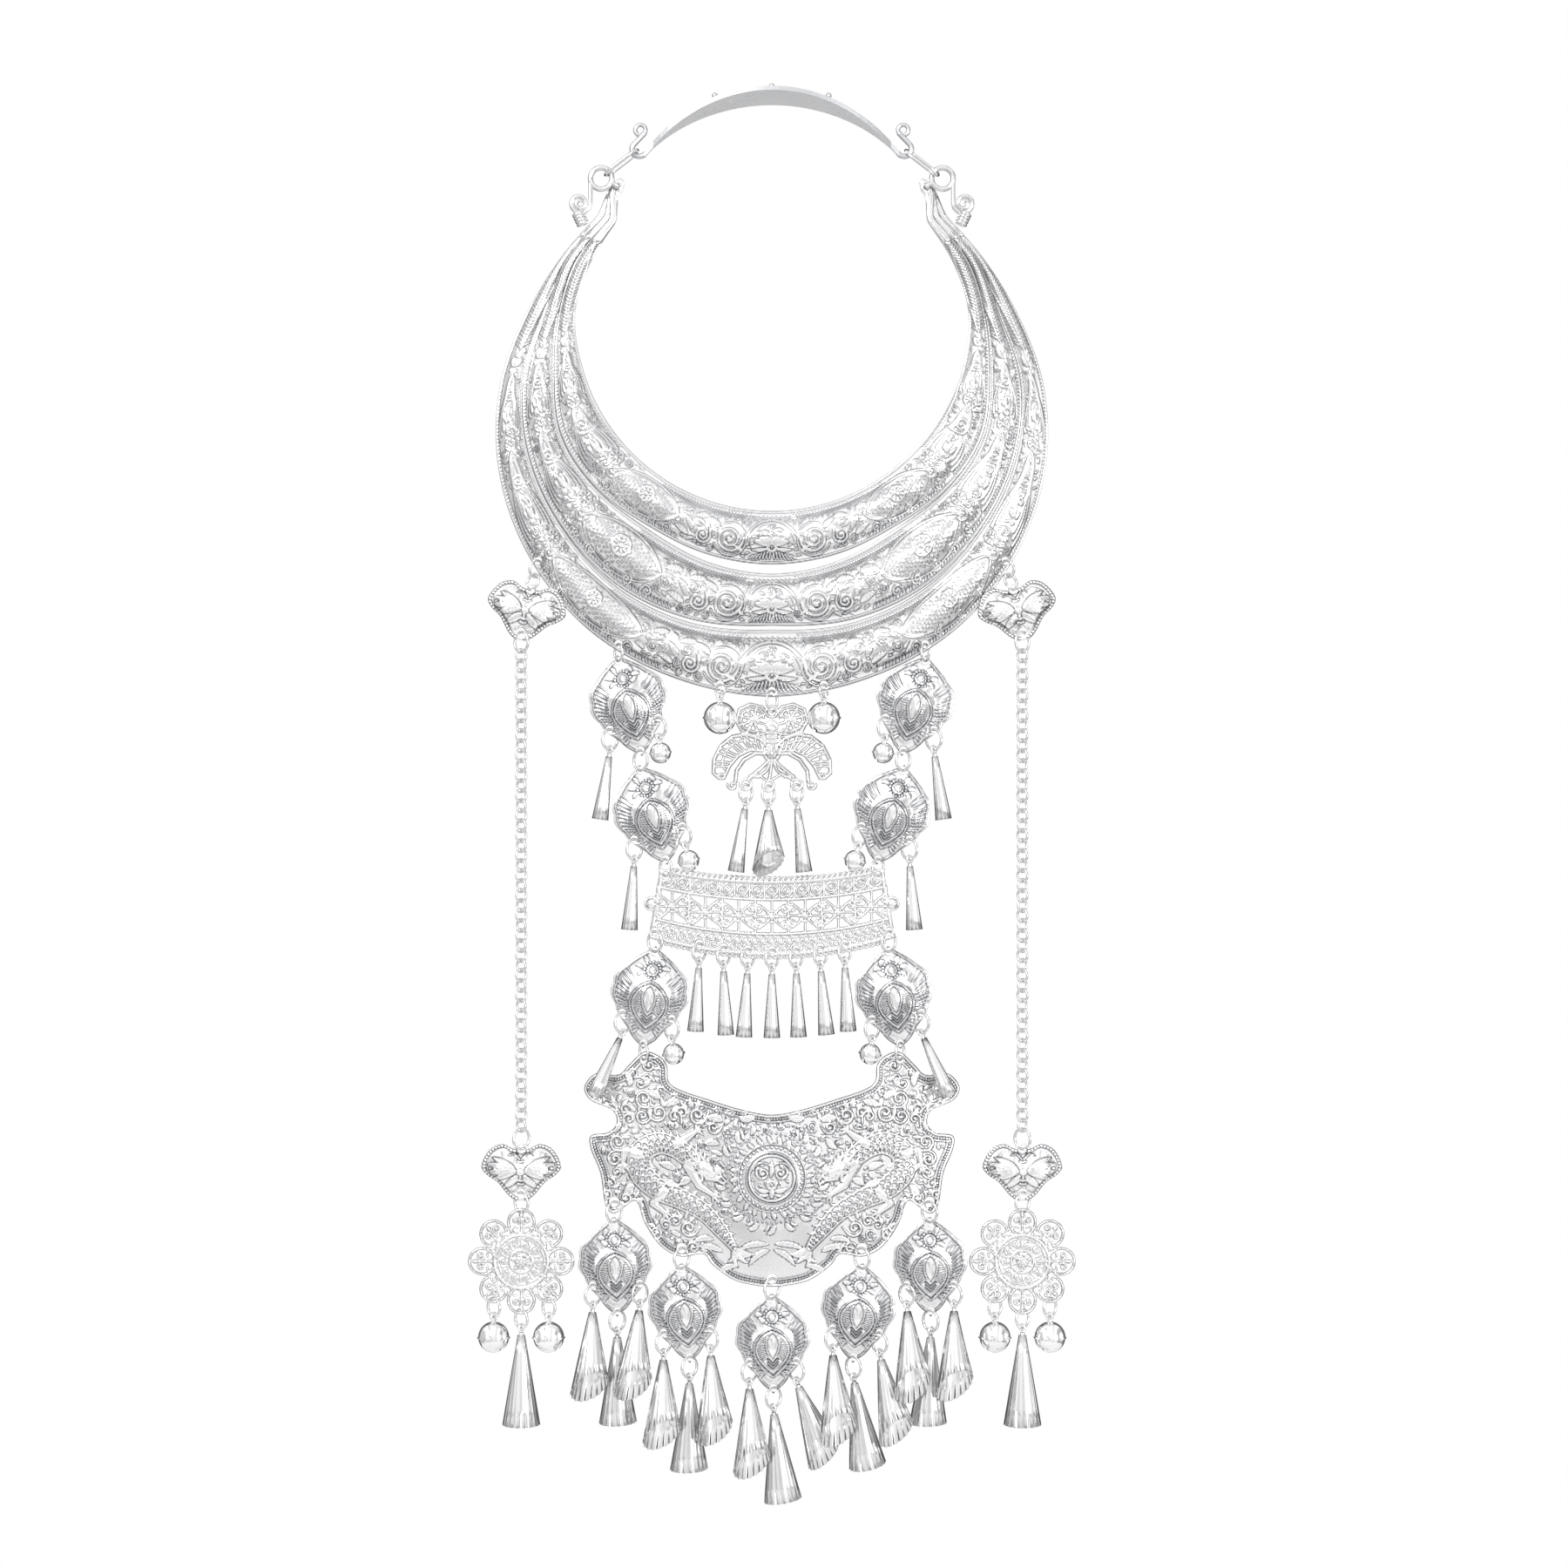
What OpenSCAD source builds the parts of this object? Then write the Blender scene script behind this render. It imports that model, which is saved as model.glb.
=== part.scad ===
// Silver neck ring of three crescent tiers, with plaques, chains and a breastplate hung from it.
// Millimetres. X runs to the wearer's left in the front view, Z is up, the front faces -Y.
// The origin is the middle of the back band's under face, at the top, where it sits on the nape.

/* [Back band] */
// Radius of the band's under face
band_r = 56.9; // [50:0.1:64]
// Angle from the top of the band to each hook
band_angle = 49.4; // [42:0.1:54]
// Width of the band at the nape
band_w = 25; // [14:0.5:36]
// Thickness of the band
band_t = 1.4; // [1:0.1:2.4]
// Height of the studs on the band
stud_h = 3.2; // [2:0.1:5]
// Angle between the studs
stud_angle = 18.8; // [12:0.1:26]

/* [Hooks and links] */
// Wire of the hooks and end loops
hook_wire = 1.8; // [1.2:0.1:2.1]
// Bend radius of each hook's bowl
bowl_r = 2.5; // [2.4:0.1:4]
// Length of the wire behind each bowl
hook_tail = 5; // [3:0.1:7]
// Wire of the two joining links
link_wire = 1.2; // [0.8:0.1:1.3]
// Width of the joining links
link_w = 9; // [7:0.1:12]
// Radius of the loops at the ends of the tiers
loop_r = 3.7; // [3.2:0.1:4.6]
// Radius of the wire spirals beside the loops
spiral_r = 3.3; // [2.8:0.1:4]

/* [Tiers] */
// Radius of the neck opening
neck_r = 67.8; // [62:0.1:72]
// Drop from the origin to the middle of the neck opening
neck_drop = 74.4; // [72:0.1:80]
// Thickness of the pressed sheet
sheet_t = 0.9; // [0.6:0.05:1.1]
// Height of a tier's dome as a share of its width
dome_share = 0.24; // [0.12:0.01:0.32]
// Height of the raised bosses along the tiers
boss_h = 0.8; // [0:0.05:1.2]
// Gap in depth between one tier and the next
tier_gap = 0.4; // [0.3:0.05:1]

/* [Rings] */
// Wire of the jump rings
ring_wire = 0.9; // [0.6:0.05:1]
// Radius of a jump ring to the middle of its wire
ring_r = 3.5; // [3.1:0.05:4]
// Radius of a short jump ring
short_ring_r = 2.9; // [2.6:0.05:3.2]
// Radius of the hole that a ring passes through
hole_r = 1.35; // [1.25:0.05:1.5]
// Distance from the middle of a hole to the edge of its sheet
hole_edge = 2.2; // [2:0.05:2.6]

/* [Leaf plaques] */
// Distance between the two end holes of a leaf plaque
leaf_len = 31.8; // [28:0.1:36]
// Width of a leaf plaque
leaf_w = 26.4; // [22:0.1:28]
// Dome height of an upper leaf plaque
leaf_dome = 4.6; // [3:0.1:6]
// Distance between the end holes of a fringe plaque
fringe_len = 30.6; // [27:0.1:34]
// Width of a fringe plaque
fringe_w = 25; // [21:0.1:26.5]
// Dome height of a fringe plaque
fringe_dome = 3; // [2:0.1:5]

/* [Pierced bar] */
// Height of the pierced bar between its ring holes
bar_h = 19.6; // [18:0.1:24]
// Radius of the bar's upper edge
bar_arc_r = 195; // [150:5:300]
// Depth of the bar's lower edge at the middle below its corners
bar_belly = 6.4; // [5:0.1:9]
// Thickness of the bar, the butterfly and the rosettes
pierced_t = 1; // [0.8:0.05:1.1]

/* [Breastplate] */
// Width of the breastplate
plate_w = 130; // [118:1:140]
// Height of the breastplate
plate_h = 79.8; // [70:0.2:90]
// Dome radius of the breastplate
plate_dome_r = 300; // [220:5:500]
// Thickness of the breastplate
plate_t = 1; // [0.7:0.05:1.5]

/* [Chains and rosettes] */
// Number of links in each side chain
chain_links = 48; // [44:1:50]
// Wire of the side chains
chain_wire = 0.8; // [0.6:0.05:0.9]
// Radius of a chain link to the middle of its wire
chain_r = 2.2; // [2:0.05:2.5]
// Width of the winged charms
charm_w = 27.5; // [22:0.5:32]
// Height of the winged charms between their holes
charm_h = 15; // [12:0.1:18]
// Dome height of the winged charms
charm_dome = 4.5; // [3:0.1:5.5]
// Radius of the rosettes
rosette_r = 18.4; // [16:0.1:19]

/* [Bells and cones] */
// Radius of the two bells under the collar
bell_r = 5.7; // [4.5:0.1:6.5]
// Radius of the small bells beside the upper plaques
small_bell_r = 3.7; // [3:0.1:4.4]
// Radius of the rosettes' bells
rosette_bell_r = 5.4; // [4:0.1:6]
// Length of a narrow cone
narrow_len = 22; // [18:0.5:26]
// Radius of a narrow cone at its mouth
narrow_r = 2.9; // [2.2:0.1:3.4]
// Length of a wide cone
wide_len = 31; // [26:0.5:36]
// Radius of a wide cone at its mouth
wide_r = 6.6; // [5:0.1:7]
// Wall of the bells and cones
cone_wall = 0.5; // [0.4:0.05:0.8]

/* [Hidden] */
$fn = 48;
clear = 0.1;
hook_r = hook_wire / 2;
link_r = link_wire / 2;
wire_r = ring_wire / 2;

// Tiers, all angles taken at the middle of the neck opening from straight down
tier_names = ["inner", "middle", "outer"];
station_step = 15;
// Radii as shares of neck_r at every 15 degrees: neck edge, then the lower edge of each tier
edge_shares = [
    [1.000, 1.274, 1.584, 1.947],
    [1.000, 1.265, 1.606, 1.916],
    [1.000, 1.248, 1.588, 1.858],
    [1.000, 1.257, 1.518, 1.748],
    [1.000, 1.235, 1.429, 1.606],
    [1.000, 1.146, 1.310, 1.438],
    [1.000, 1.084, 1.159, 1.257],
    [0.960, 1.035, 1.084, 1.119],
    [0.920, 0.960, 0.993, 1.027]];
last_row_angle = 120;
tip_angle = 129.5;
end_angle = 132;
tip_share = 1.021;
tip_half_w = hole_edge;
flange_share = 0.12;
// Open strips between the tiers at the bottom, and the angle where they close
open_gaps = [3, 1.2];
open_angle = 45;
// The domes flatten from this angle to the tips, where the tiers lie one on the other
flat_from = 104;
flatten = 0.85;
tier_steps = 72;
across = 10;
boss_pitch = 7.5;

function mix(a, b, t) = a + (b - a) * t;
function smooth(t) = let (u = max(0, min(1, t))) u * u * (3 - 2 * u);
// Smooth curve through evenly spaced rows of a table
function through(rows, t) =
    let (last = len(rows) - 1,
         i = min(last - 1, max(0, floor(t))),
         f = t - i,
         a = rows[max(0, i - 1)], b = rows[i], c = rows[i + 1], d = rows[min(last, i + 2)])
    0.5 * ((2 * b) + (c - a) * f + (2 * a - 5 * b + 4 * c - d) * f * f + (3 * b - a - 3 * c + d) * f * f * f);
function table_edge(k, ang) = neck_r * through([for (row = edge_shares) row[k]], min(last_row_angle, ang) / station_step);
function open_gap(i, ang) = i == 0 ? 0 : open_gaps[i - 1] * (1 - smooth(ang / open_angle));
// Both edges of a tier; past the last row they run together to the tip
function tier_edges(i, angle) =
    let (ang = abs(angle),
         t = smooth((ang - last_row_angle) / (tip_angle - last_row_angle)),
         closing = smooth((ang - tip_angle) / (end_angle - tip_angle)),
         half = mix(tip_half_w, tip_half_w * 0.45, closing))
    [mix(table_edge(i, ang) + open_gap(i, ang), neck_r * tip_share - half, t),
     mix(table_edge(i + 1, ang), neck_r * tip_share + half, t)];
// A place on the collar, from an angle, a radius and a depth
function on_collar(ang, r, y) = [r * sin(ang), y, -neck_drop - r * cos(ang)];

// Depths: the end loops lie in the middle plane, with the tiers behind them
loop_gap = 0.4;
tier_pitch = sheet_t + tier_gap;
function tier_back(i) = hook_r + loop_gap + sheet_t + i * tier_pitch;
hang_y = tier_back(2) - sheet_t / 2;

// Hooks, links and end loops, given for +X and mirrored
band_mid_r = band_r + band_t / 2;
bowl_from = band_mid_r * [sin(band_angle), cos(band_angle)] - [0, band_r];
bowl = bowl_from + bowl_r * [sin(band_angle), cos(band_angle)];
tip = [neck_r * tip_share * sin(tip_angle), -neck_drop - neck_r * tip_share * cos(tip_angle)];
loop_lean = 25;
loop_neck = 2.2;
loop = tip + (loop_r + loop_neck) * [cos(loop_lean), sin(loop_lean)];
link_span = norm(loop - bowl);
link_dir = (loop - bowl) / link_span;
hook_bar = bowl + bowl_r * link_dir;
loop_bar = loop - loop_r * link_dir;
link_clear = 0.3;
bar_gap = hook_r + link_r + link_clear;
link_top = hook_bar - bar_gap * link_dir;
link_len = norm(loop_bar - hook_bar) + 2 * bar_gap;
// Turn of each link about its own length: the left one is seen edge on
link_turns = [0, 18];

// Holes in the outer tier: angle of each from straight down
bell_angle = 8;
drop_angle = 25;
charm_angle = 43.6;
function collar_hole(ang) = on_collar(ang, tier_edges(2, ang)[1] - hole_edge, hang_y);

// Hung rows: each lean is the angle of a plaque's length from straight down, towards the middle
ring_turn = 45;
swing_turn = 60;
leg_leans = [13.9, 15.8];
function down(lean, d) = [-d * sin(lean), 0, -d * cos(lean)];
drop_hole = collar_hole(drop_angle);
upper_top = drop_hole - [0, 0, 2 * short_ring_r];
upper_end = upper_top + down(leg_leans[0], leaf_len);
middle_top = upper_end - [0, 0, 2 * ring_r];
middle_end = middle_top + down(leg_leans[1], leaf_len);
bar_top = middle_end - [0, 0, 2 * short_ring_r];
bar_flare = asin(bar_top[0] / bar_arc_r);
bar_low = bar_top + bar_h * [sin(bar_flare), 0, -cos(bar_flare)];
lower_top = bar_low - [0, 0, 2 * ring_r];
// The lowest pair of plaques leans out to the breastplate's ring holes
plate_hole_share = 0.682;
lower_lean = -asin((plate_hole_share * plate_w / 2 - lower_top[0]) / leaf_len);
lower_end = lower_top + down(lower_lean, leaf_len);
plate_hole = lower_end - [0, 0, 2 * short_ring_r];

// Side holes of a leaf plaque, as shares of its length and width
side_hole = [0.325, 0.70];
eye_r = 1.25;
eye_wire_r = 0.4;
eye_drop = eye_r + 0.3;

SIDES = ["left", "right"];

silver = [0.86, 0.87, 0.89];
pale = [0.93, 0.94, 0.95];
grey = [0.76, 0.78, 0.81];

// Round wire along an arc in the front plane, angles from +X towards +Z
module wire_arc(centre, r, from, sweep, wire)
    translate([centre[0], 0, centre[1]]) rotate([90, 0, 0]) rotate([0, 0, from])
        rotate_extrude(angle = sweep) translate([r, 0]) circle(wire);

// Round wire between two points of the front plane
module wire_line(a, b, wire)
    translate([a[0], 0, a[1]]) rotate([0, 90 - atan2(b[1] - a[1], b[0] - a[0]), 0])
        cylinder(h = norm(b - a), r = wire);

module wire_end(p, wire) translate([p[0], 0, p[1]]) sphere(wire);

// Upright ring, turned about Z from the front plane
module upright_ring(r, wire, turn)
    rotate([90, 0, turn]) rotate_extrude() translate([r, 0]) circle(wire);

module at_side(s) mirror([s < 0 ? 1 : 0, 0, 0]) children();

// Back band: an arched strip that narrows to a wire at each end, bent up into an open hook
function band_half(x) = max(hook_r, band_w / 2 * (1 - pow(abs(x), 2.2)));
module back_band() color(silver) {
    reach = bowl_from[0];
    steps = 16;
    xs = [for (i = [-steps : steps]) i / steps];
    intersection() {
        rotate([90, 0, 0]) translate([0, -band_r, -band_w]) linear_extrude(2 * band_w) difference() {
            circle(band_r + band_t);
            circle(band_r);
        }
        translate([0, 0, -band_r]) linear_extrude(2 * band_r)
            polygon(concat([for (x = xs) [x * reach, band_half(x)]],
                [for (i = [len(xs) - 1 : -1 : 0]) [xs[i] * reach, -band_half(xs[i])]]));
    }
    for (s = [-1, 1]) at_side(s) hook();
    for (a = [-1, 0, 1]) translate([0, 0, -band_r]) rotate([0, a * stud_angle, 0])
        translate([0, 0, band_r + band_t / 2]) stud();
}

module stud() {
    cylinder(h = stud_h, r1 = 1.6, r2 = 0.7);
    translate([0, 0, stud_h]) sphere(1);
}

// Hook at the band's end: bowl, straight wire back towards the band, and a curl
module hook() {
    start = -90 - band_angle;
    finish = 44;
    curl_r = 1.8;
    rise = [-sin(finish), cos(finish)];
    lip = bowl + bowl_r * [cos(finish), sin(finish)];
    tail = lip + hook_tail * rise;
    for (p = [bowl_from, lip, tail]) wire_end(p, hook_r);
    wire_arc(bowl, bowl_r, start, finish - start, hook_r);
    wire_line(lip, tail, hook_r);
    wire_arc(tail + curl_r * [cos(finish), sin(finish)], curl_r, finish + 180, -290, hook_r * 0.8);
}

// Joining link: a long oval ring over the hook's bar and round the end loop's wire
module link(turn) color(silver) {
    half_w = link_w / 2 - link_r;
    straight = link_len - 2 * half_w;
    lean = 90 - atan2(link_dir[1], link_dir[0]);
    translate([link_top[0], 0, link_top[1]]) rotate([0, lean, 0]) rotate([0, 0, 90 + turn])
        translate([0, 0, half_w]) rotate([90, 0, 0]) {
            for (end = [0, 1]) translate([0, end * straight]) rotate([0, 0, end * 180 + 180])
                rotate_extrude(angle = 180) translate([half_w, 0]) circle(link_r);
            for (s = [-1, 1]) translate([s * half_w, 0, 0]) rotate([-90, 0, 0]) cylinder(h = straight, r = link_r);
        }
}
module link_left() at_side(-1) link(link_turns[0]);
module link_right() link(link_turns[1]);

// End hook: a loop and a spiral of wire, with a pin through the three tiers' tips
spiral_step = 1.6;
spiral_drop = 8.6;
thin_r = hook_r * 0.8;
module end_hook() color(silver) {
    foot = loop - loop_r * [cos(loop_lean), sin(loop_lean)];
    pin_len = tier_back(2) + 0.3;
    spiral_from = loop + [loop_r, -spiral_drop];
    spiral = spiral_from + [spiral_r, 0];
    coil = spiral + [0.9, -spiral_r - 0.4];
    wire_arc(loop, loop_r, 0, 360, hook_r);
    wire_line(foot, tip, hook_r);
    translate([tip[0], 0, tip[1]]) {
        sphere(hook_r * 1.05);
        rotate([-90, 0, 0]) cylinder(h = pin_len + 0.2, r = hook_r);
        translate([0, pin_len, 0]) rotate([-90, 0, 0]) cylinder(h = 0.7, r = tip_half_w - 0.2);
    }
    wire_line(loop + [loop_r, 0], spiral_from, thin_r);
    wire_end(spiral_from, thin_r * 1.05);
    for (i = [0 : 3]) wire_arc(spiral + [(i % 2) * spiral_step / 2, 0],
        spiral_r - i * spiral_step / 2, i % 2 == 0 ? 180 : 0, 180, thin_r);
    translate([coil[0], 0, coil[1]]) rotate([0, 25, 0])
        for (i = [0 : 3]) translate([0, 0, -i * 1.6 * thin_r]) rotate_extrude() translate([1.5, 0]) circle(thin_r);
}
module end_hook_left() at_side(-1) end_hook();
module end_hook_right() end_hook();

// Rise of a tier's front over its flanges: a dome with a row of bosses along its middle
function dome(t) = let (u = (t - flange_share) / (1 - 2 * flange_share)) u <= 0 || u >= 1 ? 0 : pow(sin(180 * u), 0.8);
function boss(t, ang) = exp(-pow((t - 0.5) / 0.2, 2)) * (0.5 + 0.5 * cos(360 * ang / boss_pitch));
function tier_rise(i, t, ang) =
    let (edges = tier_edges(i, ang), w = edges[1] - edges[0])
    dome(t) * w * dome_share * (1 - flatten * smooth((abs(ang) - flat_from) / (tip_angle - flat_from))) + boss(t, ang) * boss_h * smooth(w / 12 - 0.3);
function tier_point(i, t, ang, lift) =
    let (edges = tier_edges(i, ang))
    on_collar(ang, mix(edges[0], edges[1], t), tier_back(i) - lift - tier_rise(i, t, ang));
function tier_section(i, ang) = concat(
    [for (k = [0 : across]) tier_point(i, k / across, ang, sheet_t)],
    [for (k = [across : -1 : 0]) tier_point(i, k / across, ang, 0)]);

module tier_shell(i) {
    n = 2 * (across + 1);
    angles = [for (k = [-tier_steps : 2 : tier_steps]) end_angle * k / tier_steps];
    m = len(angles);
    points = [for (a = angles) each tier_section(i, a)];
    walls = [for (j = [0 : m - 2], k = [0 : n - 1])
        let (a = j * n + k, b = j * n + (k + 1) % n) each [[a, b, b + n], [a, b + n, a + n]]];
    caps = [for (k = [0 : across - 1]) let (a = k, b = k + 1, c = n - 2 - k, d = n - 1 - k, e = (m - 1) * n)
        each [[a, d, c], [a, c, b], [e + a, e + c, e + d], [e + a, e + b, e + c]]];
    polyhedron(points, concat(walls, caps));
}

module tier(i) color([silver, pale, grey][i]) difference() {
    tier_shell(i);
    for (s = [-1, 1]) through_hole([s * tip[0], tier_back(i), tip[1]], hook_r + 0.25);
    if (i == 2) for (a = [0, -bell_angle, bell_angle, -drop_angle, drop_angle, -charm_angle, charm_angle])
        through_hole(collar_hole(a), hole_r + (abs(a) > bell_angle ? 0.15 : 0));
}
module inner_tier() tier(0);
module middle_tier() tier(1);
module outer_tier() tier(2);

module through_hole(p, r) translate(p) rotate([90, 0, 0]) cylinder(h = 8, r = r, center = true);

// Jump ring through a sheet's hole, hung from its middle point
module jump_ring(p, r, turn) color(pale) translate(p - [0, 0, r]) upright_ring(r, wire_r, turn);

// Frame of a hung piece: the hole that carries it is at the origin, and it hangs along -Z
module hung(p, lean = 0, tip_forward = 0) translate(p) rotate([-tip_forward, lean, 0]) children();

// Eye on top of a bell or cone, its middle at the origin
module eye(turn) {
    upright_ring(eye_r, eye_wire_r, turn);
    translate([0, 0, -eye_drop - 1]) cylinder(h = 1.1, r = 0.7);
}

// Slotted round bell below its eye
module bell(r, turn) color(pale) {
    middle = -eye_drop - r;
    slot_w = r * 0.2;
    eye(turn);
    difference() {
        translate([0, 0, middle]) union() {
            sphere(r);
            translate([0, 0, -r * 0.06]) cylinder(h = r * 0.12, r = r + 0.35);
        }
        translate([0, 0, middle]) sphere(r - cone_wall);
        translate([0, 0, middle - r]) rotate([0, 0, 35]) {
            cube([1.5 * r, slot_w, 1.5 * r], center = true);
            for (s = [-1, 1]) translate([s * 0.72 * r, 0, r * 0.25]) sphere(r * 0.2);
        }
    }
}

// Rolled sheet cone below its eye; a wide one is cut on a slant
module cone(len, top_r, mouth_r, turn, slant = 0) color(grey) {
    shoulder = -eye_drop - 0.8;
    eye(turn);
    difference() {
        translate([0, 0, shoulder - len]) cylinder(h = len, r1 = mouth_r, r2 = top_r);
        translate([0, 0, shoulder - len - 0.1]) cylinder(h = len - 1.4, r1 = mouth_r - cone_wall, r2 = top_r - cone_wall * 0.6);
        if (slant > 0) translate([-mouth_r, 0, shoulder - len]) rotate([0, -slant, 0])
            translate([-mouth_r, -2 * mouth_r, -4 * mouth_r]) cube([6 * mouth_r, 4 * mouth_r, 4 * mouth_r]);
    }
}
module narrow_cone(turn) cone(narrow_len, 1.1, narrow_r, turn);
module wide_cone(turn, slant = 0) cone(wide_len, 1.3, wide_r, turn, slant);

// Sheets stand in the front plane: a flat outline is drawn in x and z and thickened towards the front
module upright(t, back = 0) rotate([90, 0, 0]) translate([0, 0, -back]) linear_extrude(t) children();
module dome_ball(r, h, z) translate([0, r - h, z]) sphere(r);
// Radius of the ball whose cap has the height h over the half length a
function ball_r(a, h) = (a * a + h * h) / (2 * h);
// Raised work: a flat drawing laid on a dome
module raised(r, h, z, up) intersection() {
    upright(3 * h + 10, 0) children();
    difference() {
        dome_ball(r + up, h + up, z);
        dome_ball(r - 0.2, h - 0.2, z);
    }
}
module band_ring(r, w) difference() {
    circle(r + w / 2);
    circle(r - w / 2);
}
// Pointed leaf between its two ends, from the origin down
module leaf_shape(len, w) {
    r = (len * len / 4 + w * w / 4) / w;
    translate([0, -len / 2]) intersection() {
        translate([r - w / 2, 0]) circle(r);
        translate([w / 2 - r, 0]) circle(r);
    }
}
module leaf_line(len, w, line) difference() {
    leaf_shape(len, w);
    translate([0, -line * 1.6]) leaf_shape(len - 3.2 * line, w - 2 * line);
}

// Outline of a leaf plaque from its top hole: half widths at even steps, scalloped along the sides
leaf_halves = [0, 0.30, 0.62, 0.85, 0.96, 0.98, 0.92, 0.80, 0.64, 0.45, 0.26, 0];
leaf_lobes = 5;
function leaf_half(t, scallop) =
    through(leaf_halves, t * (len(leaf_halves) - 1)) * (1 + scallop * (abs(sin(180 * leaf_lobes * t)) - 0.5));
function leaf_outline(len, w, inset, scallop) =
    let (full = len + 2 * hole_edge, n = 40,
         half = [for (k = [0 : n]) let (t = k / n)
             [max(0.01, leaf_half(t, scallop) * (w / 2 - inset) + 1.2 * sin(180 * t) * (inset > 0 ? 0 : 0.4)),
              hole_edge - inset - t * (full - 2 * inset)]])
    concat(half, [for (k = [n - 1 : -1 : 1]) [-half[k][0], half[k][1]]]);

// Leaf plaque: flat scalloped rim, domed middle open at the back, flower and veined leaves raised on it
module leaf_plaque(len, w, h) color(silver) {
    rim = 2.9;
    mid = -len / 2;
    r = ball_r(len / 2, h);
    outline = leaf_outline(len, w, 0, 0.12);
    inner = leaf_outline(len - 1.6, w, rim, 0);
    difference() {
        union() {
            upright(sheet_t, sheet_t / 2) polygon(outline);
            intersection() {
                upright(20, 0) translate([0, -0.8]) polygon(inner);
                dome_ball(r, h, mid);
            }
            raised(r, h, mid, 0.5) leaf_drawing(len);
        }
        intersection() {
            upright(20, 1) translate([0, -0.8]) polygon(leaf_outline(len - 1.6, w, rim + sheet_t, 0));
            dome_ball(r - sheet_t, h - sheet_t, mid);
        }
        leaf_holes(len, w);
    }
}
module leaf_drawing(len) {
    flower = -0.19 * len;
    translate([0, flower]) {
        circle(1.5);
        band_ring(2.6, 0.6);
    }
    translate([0, -0.3 * len]) {
        leaf_line(0.44 * len, 0.2 * len, 0.5);
        for (s = [-1, 1]) translate([s * 2.6, 1.5]) rotate(s * 24) leaf_line(0.42 * len, 0.17 * len, 0.5);
    }
}
function side_hole_at(len, w, s) = [s * side_hole[0] * w, 0, -side_hole[1] * len];
module leaf_holes(len, w)
    for (p = [[0, 0, 0], [0, 0, -len], side_hole_at(len, w, 1), side_hole_at(len, w, -1)]) through_hole(p, hole_r);

// The six upper plaques: top hole and lean of each, given for the right and mirrored
plaque_tops = [upper_top, middle_top, lower_top];
plaque_leans = [leg_leans[0], leg_leans[1], lower_lean];
module leg_plaque(side, i) at_side(side) hung(plaque_tops[i], plaque_leans[i]) leaf_plaque(leaf_len, leaf_w, leaf_dome);
module plaque_left_1() leg_plaque(-1, 0);
module plaque_left_2() leg_plaque(-1, 1);
module plaque_left_3() leg_plaque(-1, 2);
module plaque_right_1() leg_plaque(1, 0);
module plaque_right_2() leg_plaque(1, 1);
module plaque_right_3() leg_plaque(1, 2);

// A point given in a hung piece's own frame
function hung_point(p, lean, q) = p + [q[0] * cos(lean) + q[2] * sin(lean), q[1], -q[0] * sin(lean) + q[2] * cos(lean)];
function leg_hole(i, s) = hung_point(plaque_tops[i], plaque_leans[i], side_hole_at(leaf_len, leaf_w, s));
module both_sides() for (s = [-1, 1]) at_side(s) children();

module drop_rings() both_sides() {
    jump_ring(drop_hole, short_ring_r, swing_turn);
    jump_ring(upper_end, ring_r, ring_turn);
    jump_ring(middle_end, short_ring_r, ring_turn);
    jump_ring(bar_low, ring_r, ring_turn);
    for (i = [0 : 2]) {
        hung(leg_hole(i, -1), leg_ring_leans[i]) jump_ring([0, 0, 0], ring_r, ring_turn);
        jump_ring(leg_hole(i, 1), ring_r, -ring_turn);
    }
}
module plaque_bells() both_sides() for (i = [0 : 2])
    hung(leg_hole(i, -1) + down(leg_ring_leans[i], 2 * ring_r), leg_bell_leans[i], leg_bell_tilts[i]) bell(small_bell_r, 90 + ring_turn);
leg_ring_leans = [3, 10, 0];
leg_bell_leans = [5, 12, 8];
leg_bell_tilts = [0, 0, 14];
leg_cone_leans = [-8, -4, -24];
leg_cone_tilts = [0, 0, 22];
module plaque_cones() both_sides() for (i = [0 : 2])
    hung(leg_hole(i, 1) - [0, 0, 2 * ring_r], leg_cone_leans[i], leg_cone_tilts[i]) narrow_cone(90 - ring_turn);

// Collar: rings and bells on the outer tier
bell_ring_r = 2.1;
module collar_rings() both_sides() jump_ring(collar_hole(bell_angle), bell_ring_r, ring_turn);
module collar_bell() hung(collar_hole(bell_angle) - [0, 0, 2 * bell_ring_r]) bell(bell_r, 90 + ring_turn);
module collar_bell_left() at_side(-1) collar_bell();
module collar_bell_right() collar_bell();

// Butterfly pendant, drawn from its top hole: sizes in millimetres at the middle of the collar
butterfly_ring_r = 3.6;
cone_ring_r = 3;
butterfly_top = collar_hole(0) - [0, 0, 2 * butterfly_ring_r];
butterfly_low = [[-9, -25.2], [-1.2, -25.6], [8.6, -25.2]];
wing_at = [12.6, -15.6];
wing_r = 7.2;
wing_slots = 6;
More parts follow.
